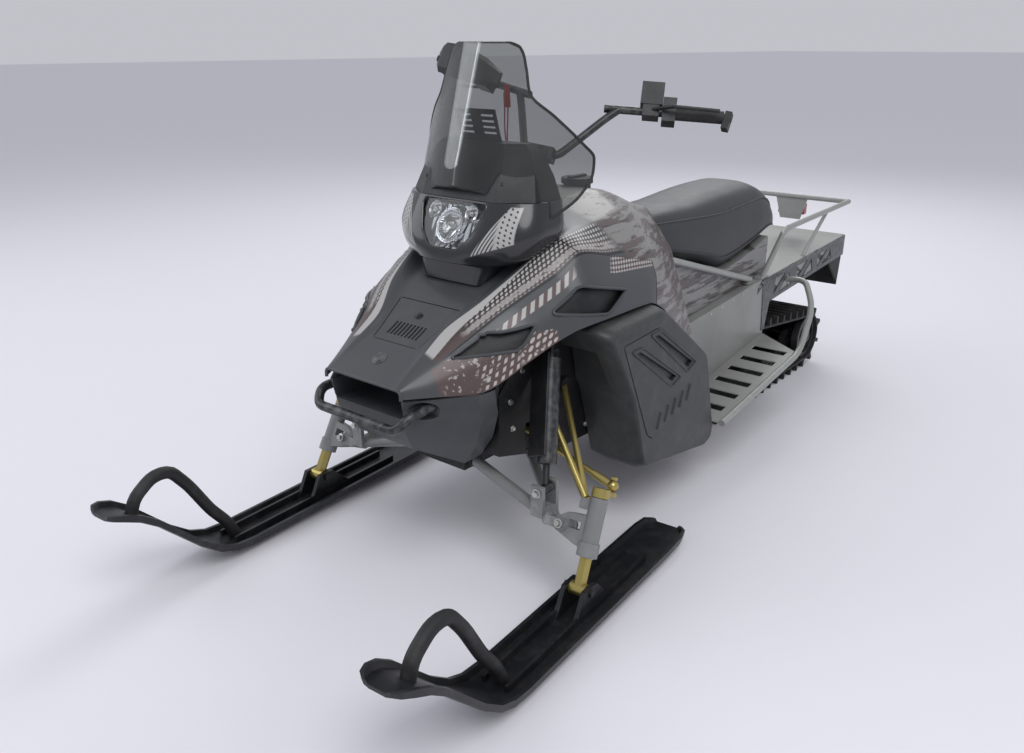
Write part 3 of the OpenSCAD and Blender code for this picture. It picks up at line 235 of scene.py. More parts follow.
clear_lens = lens_material("clear_lens", (0.93, 0.94, 0.95), 0.03)
smoked = lens_material("smoked_sheet", (0.62, 0.63, 0.62), 0.05)

def red_lens_material():
    t = Tree("red_lens")
    return t.finish(srgb(150, 16, 18), rough=0.12, grain=0.3, grain_scale=300, coat=0.6)
red_lens = red_lens_material()

def halftone(t, s, w, pitch_s, pitch_w, size):
    """Round dots on a skewed grid; size is the dot's share of the pitch."""
    a = t.m("DIVIDE", s, pitch_s)
    b = t.m("DIVIDE", w, pitch_w)
    a = t.m("ADD", a, t.m("MULTIPLY", b, 0.5))
    fa = t.m("SUBTRACT", t.m("FRACT", a), 0.5)
    fb = t.m("SUBTRACT", t.m("FRACT", b), 0.5)
    d = t.m("SQRT", t.m("ADD", t.m("MULTIPLY", fa, fa), t.m("MULTIPLY", fb, fb)))
    n = t.m("SUBTRACT", size, d)
    return t.step(n, 0.0, 0.04)

def body_material(cover=False):
    """Hood and tank cover. The map 'gfx' holds y in metres, and the place across the body from 0
    at the middle to 1 at the lower edge, five strips wide."""
    t = Tree("body_cover" if cover else "body_hood")
    uv = t.nt.nodes.new("ShaderNodeUVMap")
    uv.uv_map = "gfx"
    y = t.xyz(uv.outputs[0])[0]
    v = t.m("MULTIPLY", t.xyz(uv.outputs[0])[1], 5.0)
    w = t.m("SUBTRACT", v, 2.0)                       # across the long stripe, 0 top to 1 low
    s = t.m("ADD", y, 0.952)                          # along it from its point
    rough_edge = t.m("MULTIPLY", t.m("SUBTRACT", t.noise(t.vec(t.co, (1, 1, 3)), 45.0, 6.0), 0.5), 0.35)
    col = t.mix(0.0, CHARCOAL, CHARCOAL)
    # long stripe between shoulder and ridge
    band = t.m("MULTIPLY", t.band(w, 0.03, 0.90, 0.015), t.step(s, 0.0, 0.004))
    if cover:
        band = t.m("MULTIPLY", band, t.m("SUBTRACT", 1.0, t.step(y, -0.40, 0.02)))
    base = t.mix(t.step(t.m("ADD", w, rough_edge), 0.52, 0.2), srgb(34, 31, 31), BROWN)
    grow = t.m("ADD", 0.20, t.m("MULTIPLY", s, 0.5))
    dots = halftone(t, s, t.m("MULTIPLY", w, 0.072), 0.0125, 0.0102, 0.34)
    dotted = t.mix(t.m("MULTIPLY", dots, t.step(s, 0.10, 0.01)), base, SILVER)
    # solid wedge along the upper edge, thinning to the rear
    wedge = t.m("SUBTRACT", t.m("SUBTRACT", 0.60, t.m("MULTIPLY", s, 1.9)), w)
    dotted = t.mix(t.step(wedge, 0.0, 0.02), dotted, SILVER)
    # ragged second strip along the ridge
    strip = t.m("MULTIPLY", t.band(t.m("ADD", w, t.m("MULTIPLY", rough_edge, 0.7)), 0.62, 0.80, 0.02),
                t.m("SUBTRACT", 1.0, t.step(t.noise(t.vec(t.co, (8, 2, 8)), 9.0, 5.0), 0.60, 0.03)))
    strip = t.m("MULTIPLY", strip, t.band(s, 0.08, 0.62, 0.01))
    dotted = t.mix(strip, dotted, srgb(150, 146, 144))
    col = t.mix(band, col, dotted)
    # thin dark line on the ridge
    col = t.mix(t.m("MULTIPLY", t.band(w, 0.94, 1.02, 0.01), t.step(s, 0.02, 0.01)), col, srgb(24, 24, 25))
    if not cover:
        # brown panel low on the nose's side, with pale marks
        low = t.m("MULTIPLY", t.step(v, 3.06, 0.02), t.band(y, -0.975, -0.70, 0.004))
        rise = t.m("SUBTRACT", v, t.m("ADD", 3.1, t.m("MULTIPLY", t.m("ADD", y, 0.93), 6.2)))
        low = t.m("MULTIPLY", low, t.step(rise, 0.0, 0.02))
        slant = t.m("MULTIPLY", t.m("ABSOLUTE", t.m("SUBTRACT", v, 4.0)), 1.9)
        dash = t.m("FRACT", t.m("ADD", t.m("MULTIPLY", y, 62.0), slant))
        row = t.m("FRACT", t.m("MULTIPLY", v, 4.6))
        marks = t.m("MULTIPLY", t.band(dash, 0.2, 0.62, 0.04), t.band(row, 0.22, 0.8, 0.06))
        marks = t.m("MULTIPLY", marks, t.band(y, -0.885, -0.80, 0.01))
        spots = halftone(t, y, t.m("MULTIPLY", v, 0.075), 0.019, 0.017, 0.34)
        spots = t.m("MULTIPLY", spots, t.m("MULTIPLY", t.step(y, -0.80, 0.006), t.step(v, 3.9, 0.1)))
        chips = t.m("MULTIPLY", t.step(t.noise(t.vec(t.co, (1, 3, 3), (0.6, 0, 0)), 26.0, 6.0), 0.60, 0.02),
                    t.band(y, -0.96, -0.86, 0.01))
        pale = t.m("MAXIMUM", t.m("MAXIMUM", marks, spots), t.m("MULTIPLY", chips, 0.8))
        hole = t.step(t.noise(t.co, 34.0, 5.0), 0.44, 0.03)
        brown = t.mix(t.m("MULTIPLY", pale, hole), BROWN, srgb(178, 172, 168))
        col = t.mix(low, col, brown)
        # slanted dashes between the two side vents, and dotted patch behind the rear one
        mid = t.m("MULTIPLY", t.band(t.m("ADD", v, t.m("MULTIPLY", y, 0.9)), 2.62, 2.92, 0.01),
                  t.band(y, -0.82, -0.60, 0.01))
        bits = t.band(t.m("FRACT", t.m("ADD", t.m("MULTIPLY", y, 40.0), t.m("MULTIPLY", v, 2.2))), 0.2, 0.7, 0.05)
        col = t.mix(mid, col, t.mix(bits, BROWN, SILVER))
        back = t.m("MULTIPLY", t.band(v, 3.04, 3.62, 0.02),
                   t.step(t.m("ADD", y, t.m("MULTIPLY", v, 0.05)), -0.300, 0.005))
        bits = halftone(t, y, t.m("MULTIPLY", v, 0.075), 0.0125, 0.0115, 0.36)
        col = t.mix(back, col, t.mix(bits, BROWN, SILVER))
    else:
        streak = t.noise(t.vec(t.co, (2.5, 0.8, 7.5), (0.5, 0, 0)), 6.5, 5.0, 0.6)
        fine = t.noise(t.vec(t.co, (4, 1.4, 16), (0.5, 0, 0)), 9.0, 5.0, 0.7)
        camo = t.mix(t.step(streak, 0.50, 0.015), srgb(126, 124, 122), srgb(84, 72, 70))
        camo = t.mix(t.m("MULTIPLY", t.step(fine, 0.58, 0.02), t.step(streak, 0.42, 0.03)), camo, srgb(48, 44, 44))
        where = t.m("MULTIPLY", t.step(v, 0.62, 0.02), t.step(t.m("ADD", y, t.m("MULTIPLY", v, -0.02)), -0.44, 0.01))
        where = t.m("MULTIPLY", where, t.m("SUBTRACT", 1.0, t.step(v, 4.96, 0.01)))
        col = t.mix(where, col, camo)
    return t.finish(col, rough=0.36, grain=0.12, tone=0.08, coat=0.12)
hood_mat, cover_mat = body_material(), body_material(True)

def base_material():
    """Side of the seat base: grey with dark ragged streaks."""
    t = Tree("patterned_plastic")
    streak = t.noise(t.vec(t.co, (1, 0.7, 7), (-0.32, 0, 0)), 8.0, 5.0, 0.6)
    fine = t.noise(t.vec(t.co, (3, 1.2, 14), (-0.32, 0, 0)), 12.0, 5.0, 0.7)
    c = t.mix(t.step(streak, 0.53, 0.012), srgb(128, 128, 127), srgb(88, 82, 80))
    c = t.mix(t.m("MULTIPLY", t.step(fine, 0.55, 0.02), t.step(streak, 0.50, 0.02)), c, srgb(52, 50, 50))
    return t.finish(c, rough=0.4, grain=0.12, tone=0.08)
base_mat = base_material()

def pod_material():
    """Gloss black pod with a pale dotted triangle beside the lamp."""
    t = Tree("pod_gloss")
    x, y, z = t.xyz(t.co)
    ax = t.m("ABSOLUTE", x)
    # triangle between the lamp's slanted edge and an upright line
    a = t.m("SUBTRACT", ax, t.m("ADD", 0.100, t.m("MULTIPLY", t.m("SUBTRACT", z, 0.838), 0.62)))
    b = t.m("SUBTRACT", 0.187, ax)
    c = t.m("SUBTRACT", t.m("ADD", 0.938, 0.0), z)
    low = t.m("SUBTRACT", z, t.m("ADD", 0.826, t.m("MULTIPLY", t.m("SUBTRACT", ax, 0.10), 0.35)))
    inside = t.m("MINIMUM", t.m("MINIMUM", a, b), t.m("MINIMUM", c, low))
    mask = t.m("MULTIPLY", t.step(inside, 0.0, 0.0015), t.m("SUBTRACT", 1.0, t.step(y, -0.60, 0.01)))
    dots = halftone(t, z, ax, 0.0115, 0.0115, 0.22)
    lines = t.step(t.m("FRACT", t.m("MULTIPLY", t.m("SUBTRACT", ax, t.m("MULTIPLY", z, 0.5)), 120.0)), 0.4, 0.1)
    patt = t.m("MAXIMUM", t.m("MULTIPLY", dots, t.step(ax, 0.148, 0.004)),
               t.m("MULTIPLY", t.m("SUBTRACT", 1.0, lines), t.m("SUBTRACT", 1.0, t.step(ax, 0.146, 0.004))))
    col = t.mix(mask, srgb(33, 34, 37), t.mix(patt, SILVER, srgb(40, 40, 42)))
    return t.finish(col, rough=0.24, grain=0.04, tone=0.05, coat=0.35)
pod_mat = pod_material()

MATS = {"black_steel": black_steel, "cast_block": cast, "charcoal_plastic": charcoal, "black_gloss": pod_mat,
        "lamp_glass": clear_lens, "smoked_sheet": smoked, "black_plastic": black_plastic,
        "grey_steel": grey_steel, "zinc_steel": zinc, "patterned_plastic": base_mat, "seat_vinyl": vinyl,
        "silver_steel": silver_steel, "silver_sheet": silver_sheet, "dark_sheet": dark_sheet,
        "red_lens": red_lens, "black_rubber": rubber}
NODE_MATS = {"bulkhead": inner_black, "ski_left": ski_plastic, "ski_right": ski_plastic, "track": track_rubber,
             "side_pans": pan_mat, "access_panels": pan_mat, "front_cover": charcoal, "nose_panel": charcoal}

# ---------------------------------------------------------------- mesh helpers

def link(name, mesh, mat, body, replaces=()):
    o = bpy.data.objects.new(name, mesh)
    scene.collection.objects.link(o)
    if mat is not None:
        mesh.materials.clear()
        mesh.materials.append(mat)
    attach(o, body)
    if replaces:
        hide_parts(*replaces)
    return o

def shade(mesh, angle=35):
    mesh.polygons.foreach_set("use_smooth", [True] * len(mesh.polygons))
    mesh.set_sharp_from_angle(angle=math.radians(angle))

def add_bevel(o, width, seg=2, angle=28):
    m = o.modifiers.new("bevel", "BEVEL")
    m.width, m.segments = width, seg
    m.limit_method, m.angle_limit = "ANGLE", math.radians(angle)
    m.harden_normals = True
    m.use_clamp_overlap = True

def baked(o):
    """Applies the object's modifiers to its mesh."""
    dg = bpy.context.evaluated_depsgraph_get()
    new = bpy.data.meshes.new_from_object(o.evaluated_get(dg), preserve_all_data_layers=True, depsgraph=dg)
    o.modifiers.clear()
    o.data = new
    return o

def temp(name, mesh):
    o = bpy.data.objects.new(name, mesh)
    scene.collection.objects.link(o)
    return o

def boolean(o, cutters, op="DIFFERENCE"):
    for c in cutters:
        m = o.modifiers.new("b", "BOOLEAN")
        m.operation, m.object, m.solver = op, c, "EXACT"
        baked(o)
    return o

def drop(*objs):
    for o in objs:
        bpy.data.objects.remove(o)

def mesh_of(verts, faces, recalc=True):
    me = bpy.data.meshes.new("m")
    me.from_pydata([tuple(v) for v in verts], [], faces)
    bm = bmesh.new()
    bm.from_mesh(me)
    if recalc:
        bmesh.ops.recalc_face_normals(bm, faces=bm.faces)
    bm.to_mesh(me)
    bm.free()
    return me

def loft(rings, cap=True):
    """Closed skin through rings of points in metres."""
    n, m = len(rings[0]), len(rings)
    verts = [p for r in rings for p in r]
    faces = [(i * n + j, i * n + (j + 1) % n, (i + 1) * n + (j + 1) % n, (i + 1) * n + j)
             for i in range(m - 1) for j in range(n)]
    if cap:
        faces += [tuple(range(n)), tuple((m - 1) * n + j for j in range(n))]
    return mesh_of(verts, faces)

def prism_faces(n):
    """Faces of a prism whose two n-sided ends follow one another in the list of points."""
    return [tuple(range(n)), tuple(range(n, 2 * n))] + \
        [(i, (i + 1) % n, n + (i + 1) % n, n + i) for i in range(n)]

def grid_faces(rows, cols):
    """Faces of a sheet of rows by cols cells, its points stored row by row."""
    w = cols + 1
    return [(i * w + j, i * w + j + 1, (i + 1) * w + j + 1, (i + 1) * w + j)
            for i in range(rows) for j in range(cols)]

def prism(outline, x0, x1):
    """Side-view outline [y, z] in mm between x0 and x1."""
    v = [(x * MM, p[0] * MM, p[1] * MM) for x in (x0, x1) for p in outline]
    return mesh_of(v, prism_faces(len(outline)))

def round_poly(pts, r, n=4, closed=True):
    """Each corner becomes a short curve of n steps that starts r before it."""
    P = [np.array(p, float) for p in pts]
    out = []
    k = len(P)
    for i, p in enumerate(P):
        if not closed and i in (0, k - 1):
            out.append(p)
            continue
        a, c = P[i - 1] - p, P[(i + 1) % k] - p
        la, lc = np.linalg.norm(a) + 1e-9, np.linalg.norm(c) + 1e-9
        d = min(r, 0.46 * la, 0.46 * lc)
        u, v = p + a / la * d, p + c / lc * d
        for j in range(n + 1):
            t = j / n
            out.append(u * (1 - t) ** 2 + p * 2 * t * (1 - t) + v * t * t)
    return out

def finer(table, per=6):
    """Table sorted on column 0, with smooth rows put between its rows (no overshoot)."""
    T = np.array(table, float)
    x = T[:, 0]
    h = np.diff(x)
    d = np.diff(T, axis=0) / h[:, None]
    m = np.zeros_like(T)
    m[0], m[-1] = d[0], d[-1]
    for i in range(1, len(x) - 1):
        w1, w2 = 2 * h[i] + h[i - 1], h[i] + 2 * h[i - 1]
        ok = d[i - 1] * d[i] > 0
        with np.errstate(divide="ignore", invalid="ignore"):
            m[i] = np.where(ok, (w1 + w2) / (w1 / d[i - 1] + w2 / d[i]), 0)
    rows = []
    for i in range(len(x) - 1):
        for k in range(per):
            t = k / per
            a, b = 2 * t**3 - 3 * t**2 + 1, t**3 - 2 * t**2 + t
            c, e = -2 * t**3 + 3 * t**2, t**3 - t**2
            rows.append(T[i] * a + m[i] * h[i] * b + T[i + 1] * c + m[i + 1] * h[i] * e)
    rows.append(T[-1])
    return np.array(rows)

def dress(name, width=1.5, seg=2, smooth=35, dissolve=0.5):
    """Shown copy of a CAD node with its flat faces joined, its edges bevelled and its finish."""
    src = frame["nodes"][name]
    bm = bmesh.new()
    bm.from_mesh(src.data)
    bmesh.ops.remove_doubles(bm, verts=bm.verts, dist=1e-5)
    bmesh.ops.dissolve_limit(bm, angle_limit=math.radians(dissolve), verts=bm.verts, edges=bm.edges)
    me = bpy.data.meshes.new(name + "_shape")
    bm.to_mesh(me)
    bm.free()
    for a in list(me.attributes):
        if a.name in ("custom_normal", "sharp_face"):
            me.attributes.remove(a)
    shade(me, smooth)
    slot = SLOT_OF[name]
    o = link(name + "_shown", me, NODE_MATS.get(name) or MATS[slot], BODY_OF[name], [name])
    if width:
        add_bevel(o, width * MM, seg)
    return o

def tube(path, r, n=12, closed=False):
    """Round tube along points in metres."""
    P = [Vector(p) for p in path]
    rings, ref = [], None
    for i, p in enumerate(P):
        a = P[i - 1] if (i > 0 or closed) else p
        b = P[(i + 1) % len(P)] if (i < len(P) - 1 or closed) else p
        t = (b - a).normalized()
        if ref is None:
            ref = t.orthogonal().normalized()
        ref = (ref - t * ref.dot(t)).normalized()
        w = t.cross(ref)
        turns = [2 * math.pi * j / n for j in range(n)]
        rings.append([p + ref * r * math.cos(q) + w * r * math.sin(q) for q in turns])
    if closed:
        rings.append(rings[0])
        me = loft(rings, cap=False)
        bm = bmesh.new(); bm.from_mesh(me)
        bmesh.ops.remove_doubles(bm, verts=bm.verts, dist=1e-6)
        bm.to_mesh(me); bm.free()
        return me
    return loft(rings)

def joined(meshes):
    bm = bmesh.new()
    for me in meshes:
        bm.from_mesh(me)
    out = bpy.data.meshes.new("joined")
    bm.to_mesh(out)
    bm.free()
    return out

def disc(center, axis, r, h, n=24, bevel=0.12):
    """Small round head standing on center along axis, with a chamfer."""
    c, a = Vector(center), Vector(axis).normalized()
    u = a.orthogonal().normalized(); w = a.cross(u)
    turns = [2 * math.pi * j / n for j in range(n)]
    prof = [(r, 0), (r, h * (1 - bevel * 2)), (r - r * bevel, h)]
    return loft([[c + a * z + (u * math.cos(q) + w * math.sin(q)) * k for q in turns] for k, z in prof])

def bolt(center, axis, r, h=None):
    """Washer and hexagon head."""
    h = h or r * 0.9
    a = Vector(axis).normalized()
    return joined([disc(Vector(center), a, r * 1.35, r * 0.22),
                   disc(Vector(center) + a * r * 0.2, a, r, h, n=6, bevel=0.1)])

def detail(name, meshes, mat, body, slot=None, smooth=35):
    me = joined(meshes)
    shade(me, smooth)
    return link(name, me, mat, body)

# ---------------------------------------------------------------- body shell

# y, top z, top half, shoulder x, z, ridge x, z, flank x, z, lower edge x, z
BODY = [
    [-1052, 572, 100, 118, 572, 126, 568, 128, 560, 128, 550],
    [-985, 610, 98, 112, 614, 146, 598, 165, 575, 172, 547],
    [-900, 652, 92, 106, 664, 172, 645, 205, 600, 222, 541],
    [-785, 718, 120, 156, 742, 215, 715, 262, 668, 290, 606],
    [-690, 765, 140, 180, 796, 238, 754, 290, 700, 314, 642],
    [-634, 800, 150, 192, 826, 252, 777, 305, 720, 325, 654],
    [-560, 840, 160, 212, 856, 272, 820, 318, 745, 332, 657],
    [-450, 895, 100, 200, 862, 285, 800, 322, 730, 335, 657],
    [-330, 918, 92, 192, 870, 284, 790, 322, 720, 335, 654],
    [-257, 922, 90, 185, 868, 280, 782, 318, 712, 332, 626],
    [-200, 915, 85, 178, 858, 268, 770, 310, 690, 328, 584],
    [-100, 885, 76, 158, 836, 240, 745, 285, 640, 318, 512],
    [0, 850, 66, 132, 806, 206, 725, 246, 620, 290, 474],
    [110, 822, 50, 84, 782, 160, 700, 210, 600, 262, 468]]
SEAM = [[-646, 1000], [-566, 824], [-266, 752], [-290, 640], [-290, 380]]
REAR = [[116, 1000], [116, 812], [0, 690], [30, 440], [30, 380]]
VENTS = [[[-930, 622], [-850, 670], [-742, 684], [-800, 632]],
         [[-700, 700], [-600, 752], [-430, 712], [-520, 668]]]

def body_sheet(inset=0.0, thick=4.5, rows=None):
    R = finer(BODY, 8)
    verts, uvs, faces = [], [], []
    for r in R:
        side = [(r[9], r[10], 5), (r[7], r[8], 4), (r[5], r[6], 3), (r[3], r[4], 2), (r[2], r[1], 1)]
        side = [(max(x - inset, 20), z - inset * (0.0 if v == 5 else 0.8), v) for x, z, v in side]
        ring = side + [(-x, z, v) for x, z, v in reversed(side)]
        for x, z, v in round_poly(ring, 15, 4, closed=False):
            verts.append((x * MM, r[0] * MM, z * MM))
            uvs.append((r[0] * MM, v / 5))
    n = len(verts) // len(R)
    for i in range(len(R) - 1):
        for j in range(n - 1):
            faces.append((i * n + j, (i + 1) * n + j, (i + 1) * n + j + 1, i * n + j + 1))
    me = bpy.data.meshes.new("body")
    me.from_pydata(verts, [], faces)
    top = [p for p in me.polygons if abs(p.center.x) < 0.05]
    if sum(p.normal.z for p in top) < 0:
        me.flip_normals()
    layer = me.uv_layers.new(name="gfx")
    for lp in me.loops:
        layer.data[lp.index].uv = uvs[lp.vertex_index]
    o = temp("body_sheet", me)
    s = o.modifiers.new("s", "SOLIDIFY")
    s.thickness, s.offset = thick * MM, -1
    s.use_even_offset = True
    return baked(o)

def cutter(me):
    o = temp("cut", me)
    o.hide_render = True
    return o

def rounded_outline(pts, r, n=3):
    return [tuple(p) for p in round_poly([(a, b, 0) for a, b in pts], r, n)]

NOSE = Matrix.Translation((0, -0.900, 0.652)) @ Matrix.Rotation(math.atan((718 - 652) / 115), 4, "X")

def nose_poly(g, z0, z1, r=9):
    pts = round_poly([(-74 - g, -46 - g, 0), (74 + g, -46 - g, 0), (100 + g, 96 + g, 0), (-100 - g, 96 + g, 0)], r, 4)
    v = [NOSE @ Vector((p[0] * MM, p[1] * MM, z * MM)) for z in (z0, z1) for p in pts]
    return mesh_of(v, prism_faces(len(pts)))

def finish_shell(o, name, mat, nodes, angle=24):
    me = o.data
    shade(me, angle)
    scene.collection.objects.unlink(o)
    bpy.data.objects.remove(o)
    return link(name, me, mat, "chassis", nodes)

hood = body_sheet()
cuts = [cutter(prism([[-1200, 300], [-1200, 1100]] + SEAM, -400, 400))]
boolean(hood, cuts, "INTERSECT"); drop(*cuts)
cuts = [cutter(prism(rounded_outline(v, 14), *xs)) for v in VENTS for xs in ((120, 400), (-400, -120))]
cuts.append(cutter(nose_poly(2.0, -20, 40)))
pod_hole = rounded_outline([(-716, 700), (-584, 700), (-584, 950), (-716, 950)], 4)
cuts.append(cutter(prism(pod_hole, -96, 96)))
boolean(hood, cuts); drop(*cuts)
finish_shell(hood, "hood_shell", hood_mat, ["hood"])

tank = body_sheet()
SEAM_GAP = 3
behind_seam = [[p[0] + SEAM_GAP, p[1]] for p in SEAM] + [[300, 380], [300, 1000]]
cuts = [cutter(prism(behind_seam, -400, 400)),
        cutter(prism([[-900, 380], [-900, 1000]] + REAR, -400, 400))]
boolean(tank, cuts, "INTERSECT"); drop(*cuts)
col = Matrix.Translation((0, -0.384, 1.009)) @ Matrix.Rotation(math.radians(-30), 4, "X")
hole = tube([col @ Vector((0, 0, -0.35)), col @ Vector((0, 0, 0.0))], 0.023, 24)
cap_hole = tube([(0, -0.2, 0.85), (0, -0.2, 0.96)], 0.040, 40)
cuts = [cutter(hole), cutter(cap_hole)]
boolean(tank, cuts); drop(*cuts)
finish_shell(tank, "tank_cover_shell", cover_mat, ["tank_cover"])

# dark screens behind the side vents
screen = body_sheet(inset=13, thick=1.5)
grown = [[[-950, 606], [-860, 690], [-724, 700], [-790, 616]],
         [[-722, 690], [-606, 772], [-404, 724], [-510, 650]]]
parts = []
for v in grown:
    for xs in ((110, 400), (-400, -110)):
        c = cutter(prism(v, *xs))
        p = temp("p", screen.data.copy())
        boolean(p, [c], "INTERSECT")
        parts.append(p.data.copy())
        drop(c, p)
drop(screen)
detail("vent_screens", parts, inner_black, "chassis")

# raised frames round the side vents, laid on the shell
def body_x(y, z):
    R = finer(BODY, 8)
    r = R[np.abs(R[:, 0] - y).argmin()]
    zs, xs = [r[10], r[8], r[6], r[4]], [r[9], r[7], r[5], r[3]]
    return float(np.interp(z, zs, xs))

frames = []
for v in VENTS:
    pts = []
    loop = rounded_outline(v, 14)
    for i, p in enumerate(loop):
        q = loop[(i + 1) % len(loop)]
        k = max(1, int(math.dist(p[:2], q[:2]) / 14))
        pts += [(p[0] + (q[0] - p[0]) * t / k, p[1] + (q[1] - p[1]) * t / k) for t in range(k)]
    for s in (1, -1):
        path = [(s * (body_x(y, z) + 0.2) * MM, y * MM, z * MM) for y, z in pts]
        frames.append(tube(path, 0.0042, 8, closed=True))
detail("vent_frames", frames, charcoal, "chassis")

# rim of the nose lip
lip = BODY[0]
ring = [(lip[9], lip[10]), (lip[7], lip[8]), (lip[5], lip[6]), (lip[3], lip[4]), (lip[2], lip[1])]
ring = ring + [(-x, z) for x, z in reversed(ring)]
ring = round_poly([(x, z, 0) for x, z in ring], 14, 4, closed=False)
nose_lip = [tube([(p[0] * MM, -1.0495, (p[1] - 2.6) * MM) for p in ring], 0.0042, 10)]
detail("nose_lip", nose_lip, charcoal, "chassis")

# ---------------------------------------------------------------- nose panel, badge

dress("nose_panel", 1.6, 3)
grille = [nose_poly(-34, -13, -11, 4)]
detail("grille_back", grille, inner_black, "chassis")
def on_nose(x, y, z=0.0):
    return NOSE @ Vector((x * MM, y * MM, z * MM))
nose_up = (NOSE.to_3x3() @ Vector((0, 0, 1))).normalized()
bits = [disc(on_nose(0, 52, -9), nose_up, 0.011, 0.006, 28)]
detail("nose_cap", bits, black_plastic, "chassis")
badge_n = Vector((0, -0.493, 0.870))
detail("badge", [disc((0, -0.992, 0.6058), badge_n, 0.019, 0.0022, 40),
                 disc((0, -0.992, 0.6065), badge_n, 0.0135, 0.0034, 40)], dark_sheet, "chassis")

# ---------------------------------------------------------------- pod, lamp

# z, front y, its half width, side's front y, half width, rear y
POD = [[745, -744, 96, -700, 98, -584], [792, -746, 100, -700, 130, -580], [800, -774, 62, -712, 170, -570],
       [832, -770, 108, -704, 206, -560], [880, -750, 132, -690, 226, -550], [946, -716, 128, -660, 214, -540]]

def pod_rings(table, per, r):
    out = []
    for q in finer(table, per):
        ring = [(q[2], q[1]), (q[4], q[3]), (q[4], q[5]), (-q[4], q[5]), (-q[4], q[3]), (-q[2], q[1])]
        out.append([(p[0] * MM, p[1] * MM, q[0] * MM) for p in round_poly([(x, y, 0) for x, y in ring], r, 6)])
    return out

def front_y(z):
    """Y of the pod's front face in mm, from the step under the lamp up."""
    return float(np.interp(z, [r[0] for r in POD[2:]], [r[1] for r in POD[2:]]))

LAMP = round_poly([(-44, 829, 0), (44, 829, 0), (82, 866, 0), (104, 924, 0), (101, 943, 0), (-101, 943, 0),
                   (-104, 924, 0), (-82, 866, 0)], 14, 4)

def lamp_half(z):
    zs = [829, 840, 866, 924, 943]
    return float(np.interp(z, zs, [46, 58, 82, 104, 101]))

def lamp_block(g, y0, depth):
    c = np.array([0, 888, 0])
    pts = [c + (np.array(p) - c) * (1 + g / 80) for p in LAMP]
    v = [(p[0] * MM, (front_y(p[1]) + y) * MM, p[1] * MM) for y in (y0, depth) for p in pts]
    return mesh_of(v, prism_faces(len(pts)))

pod = temp("pod", loft(pod_rings(POD, 6, 44)))
cuts = [cutter(lamp_block(0, -60, 52))]
boolean(pod, cuts); drop(*cuts)
me = pod.data
shade(me, 30)
drop(pod)
pod_o = link("pod_shell", me, pod_mat, "chassis", ["headlight_pod"])
add_bevel(pod_o, 0.003, 3)

LAMP_LOW, LAMP_HIGH = 830.5, 942

def lamp_grid(depth, nu=90, nv=64, inset=2.0):
    verts = []
    for i in range(nv + 1):
        z = LAMP_LOW + (LAMP_HIGH - LAMP_LOW) * i / nv
        h = lamp_half(z) - inset
        for j in range(nu + 1):
            x = h * (2 * j / nu - 1)
            verts.append((x * MM, (front_y(z) + depth(x, z)) * MM, z * MM))
    return mesh_of(verts, grid_faces(nv, nu), recalc=False)

# x, z, radius and depth of the reflector's bowls
DISHES = [(0, 884, 37, 40), (-60, 915, 19, 20), (60, 915, 19, 20)]
def mirror_depth(x, z):
    d = 24 + 3.0 * abs(math.sin(x * 0.16)) + 0.10 * abs(x)
    if z < 850:
        d -= (850 - z) * 0.6
    for cx, cz, r, deep in DISHES:
        q = math.hypot(x - cx, z - cz) / r
        if q < 1:
            d = max(8.0, 10 + deep * (1 - q * q))
            if q > 0.9:
                d = 8.0
        elif q < 1.12:
            d = 7.0
    return d
lamp_chrome = lamp_grid(mirror_depth)
detail("lamp_mirror", [lamp_chrome], chrome, "chassis", smooth=50)
bulbs = []
for cx, cz, r, deep in DISHES:
    y = front_y(cz)
    bm = bmesh.new()
    bmesh.ops.create_uvsphere(bm, u_segments=20, v_segments=12, radius=(0.011 if r > 30 else 0.007),
                              matrix=Matrix.Translation((cx * MM, (y + deep * 0.55) * MM, cz * MM)))
    me = bpy.data.meshes.new("b"); bm.to_mesh(me); bm.free()
    bulbs.append(me)
detail("lamp_bulbs", bulbs, bright, "chassis", smooth=60)
rim = [tube([(p[0] * MM, (front_y(p[1]) + 2.5) * MM, p[1] * MM) for p in LAMP], 0.003, 8, closed=True)]
detail("lamp_rim", rim, gloss, "chassis")
lens = lamp_grid(lambda x, z: 1.5 + 0.0006 * x * x, 30, 20, 0.5)
lens_o = detail("lamp_lens", [lens], clear_lens, "chassis", "lamp_glass", smooth=60)
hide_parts("headlight")

# ---------------------------------------------------------------- dash, windshield

dress("dash", 3.0, 3)
# share of the height, share of the half width
SHIELD = [[-0.02, 0.70], [0.06, 0.84], [0.16, 0.95], [0.28, 1.00], [0.37, 0.99], [0.45, 0.91], [0.60, 0.71],
          [0.72, 0.52], [0.86, 0.455], [0.97, 0.38], [1.00, 0.28]]
S_LOW, S_TOP, S_HALF = 892, 1305, 275

def shield_y(x, z):
    return -726 + (z - 953) * 0.31 + 0.0024 * x * x

rows = finer([[S_LOW + a * (S_TOP - S_LOW), b * S_HALF] for a, b in SHIELD], 6)
nu = 64
verts = []
for z, h in rows:
    for j in range(nu + 1):
        u = 2 * j / nu - 1
        x = h * math.sin(u * math.pi / 2 * 0.98) / math.sin(math.pi / 2 * 0.98)
        # a soft upright bulge in the middle of the shield
        bulge = -7 * math.exp(-(x / 95) ** 2) * min(1, max(0, (z - 960) / 60))
        verts.append((x * MM, (shield_y(x, z) + bulge) * MM, z * MM))
sh = temp("sh", mesh_of(verts, grid_faces(len(rows) - 1, nu)))
m = sh.modifiers.new("s", "SOLIDIFY")
m.thickness, m.offset = 0.0028, 0
baked(sh)
arch = [(-152, 860), (-150, 905), (-120, 950), (-70, 968), (0, 974), (70, 968), (120, 950), (150, 905), (152, 860)]
c = cutter(mesh_of([(x * MM, y, z * MM) for y in (-0.80, -0.60) for x, z in arch], prism_faces(len(arch))))
boolean(sh, [c]); drop(c)
me = sh.data
shade(me, 40)
drop(sh)
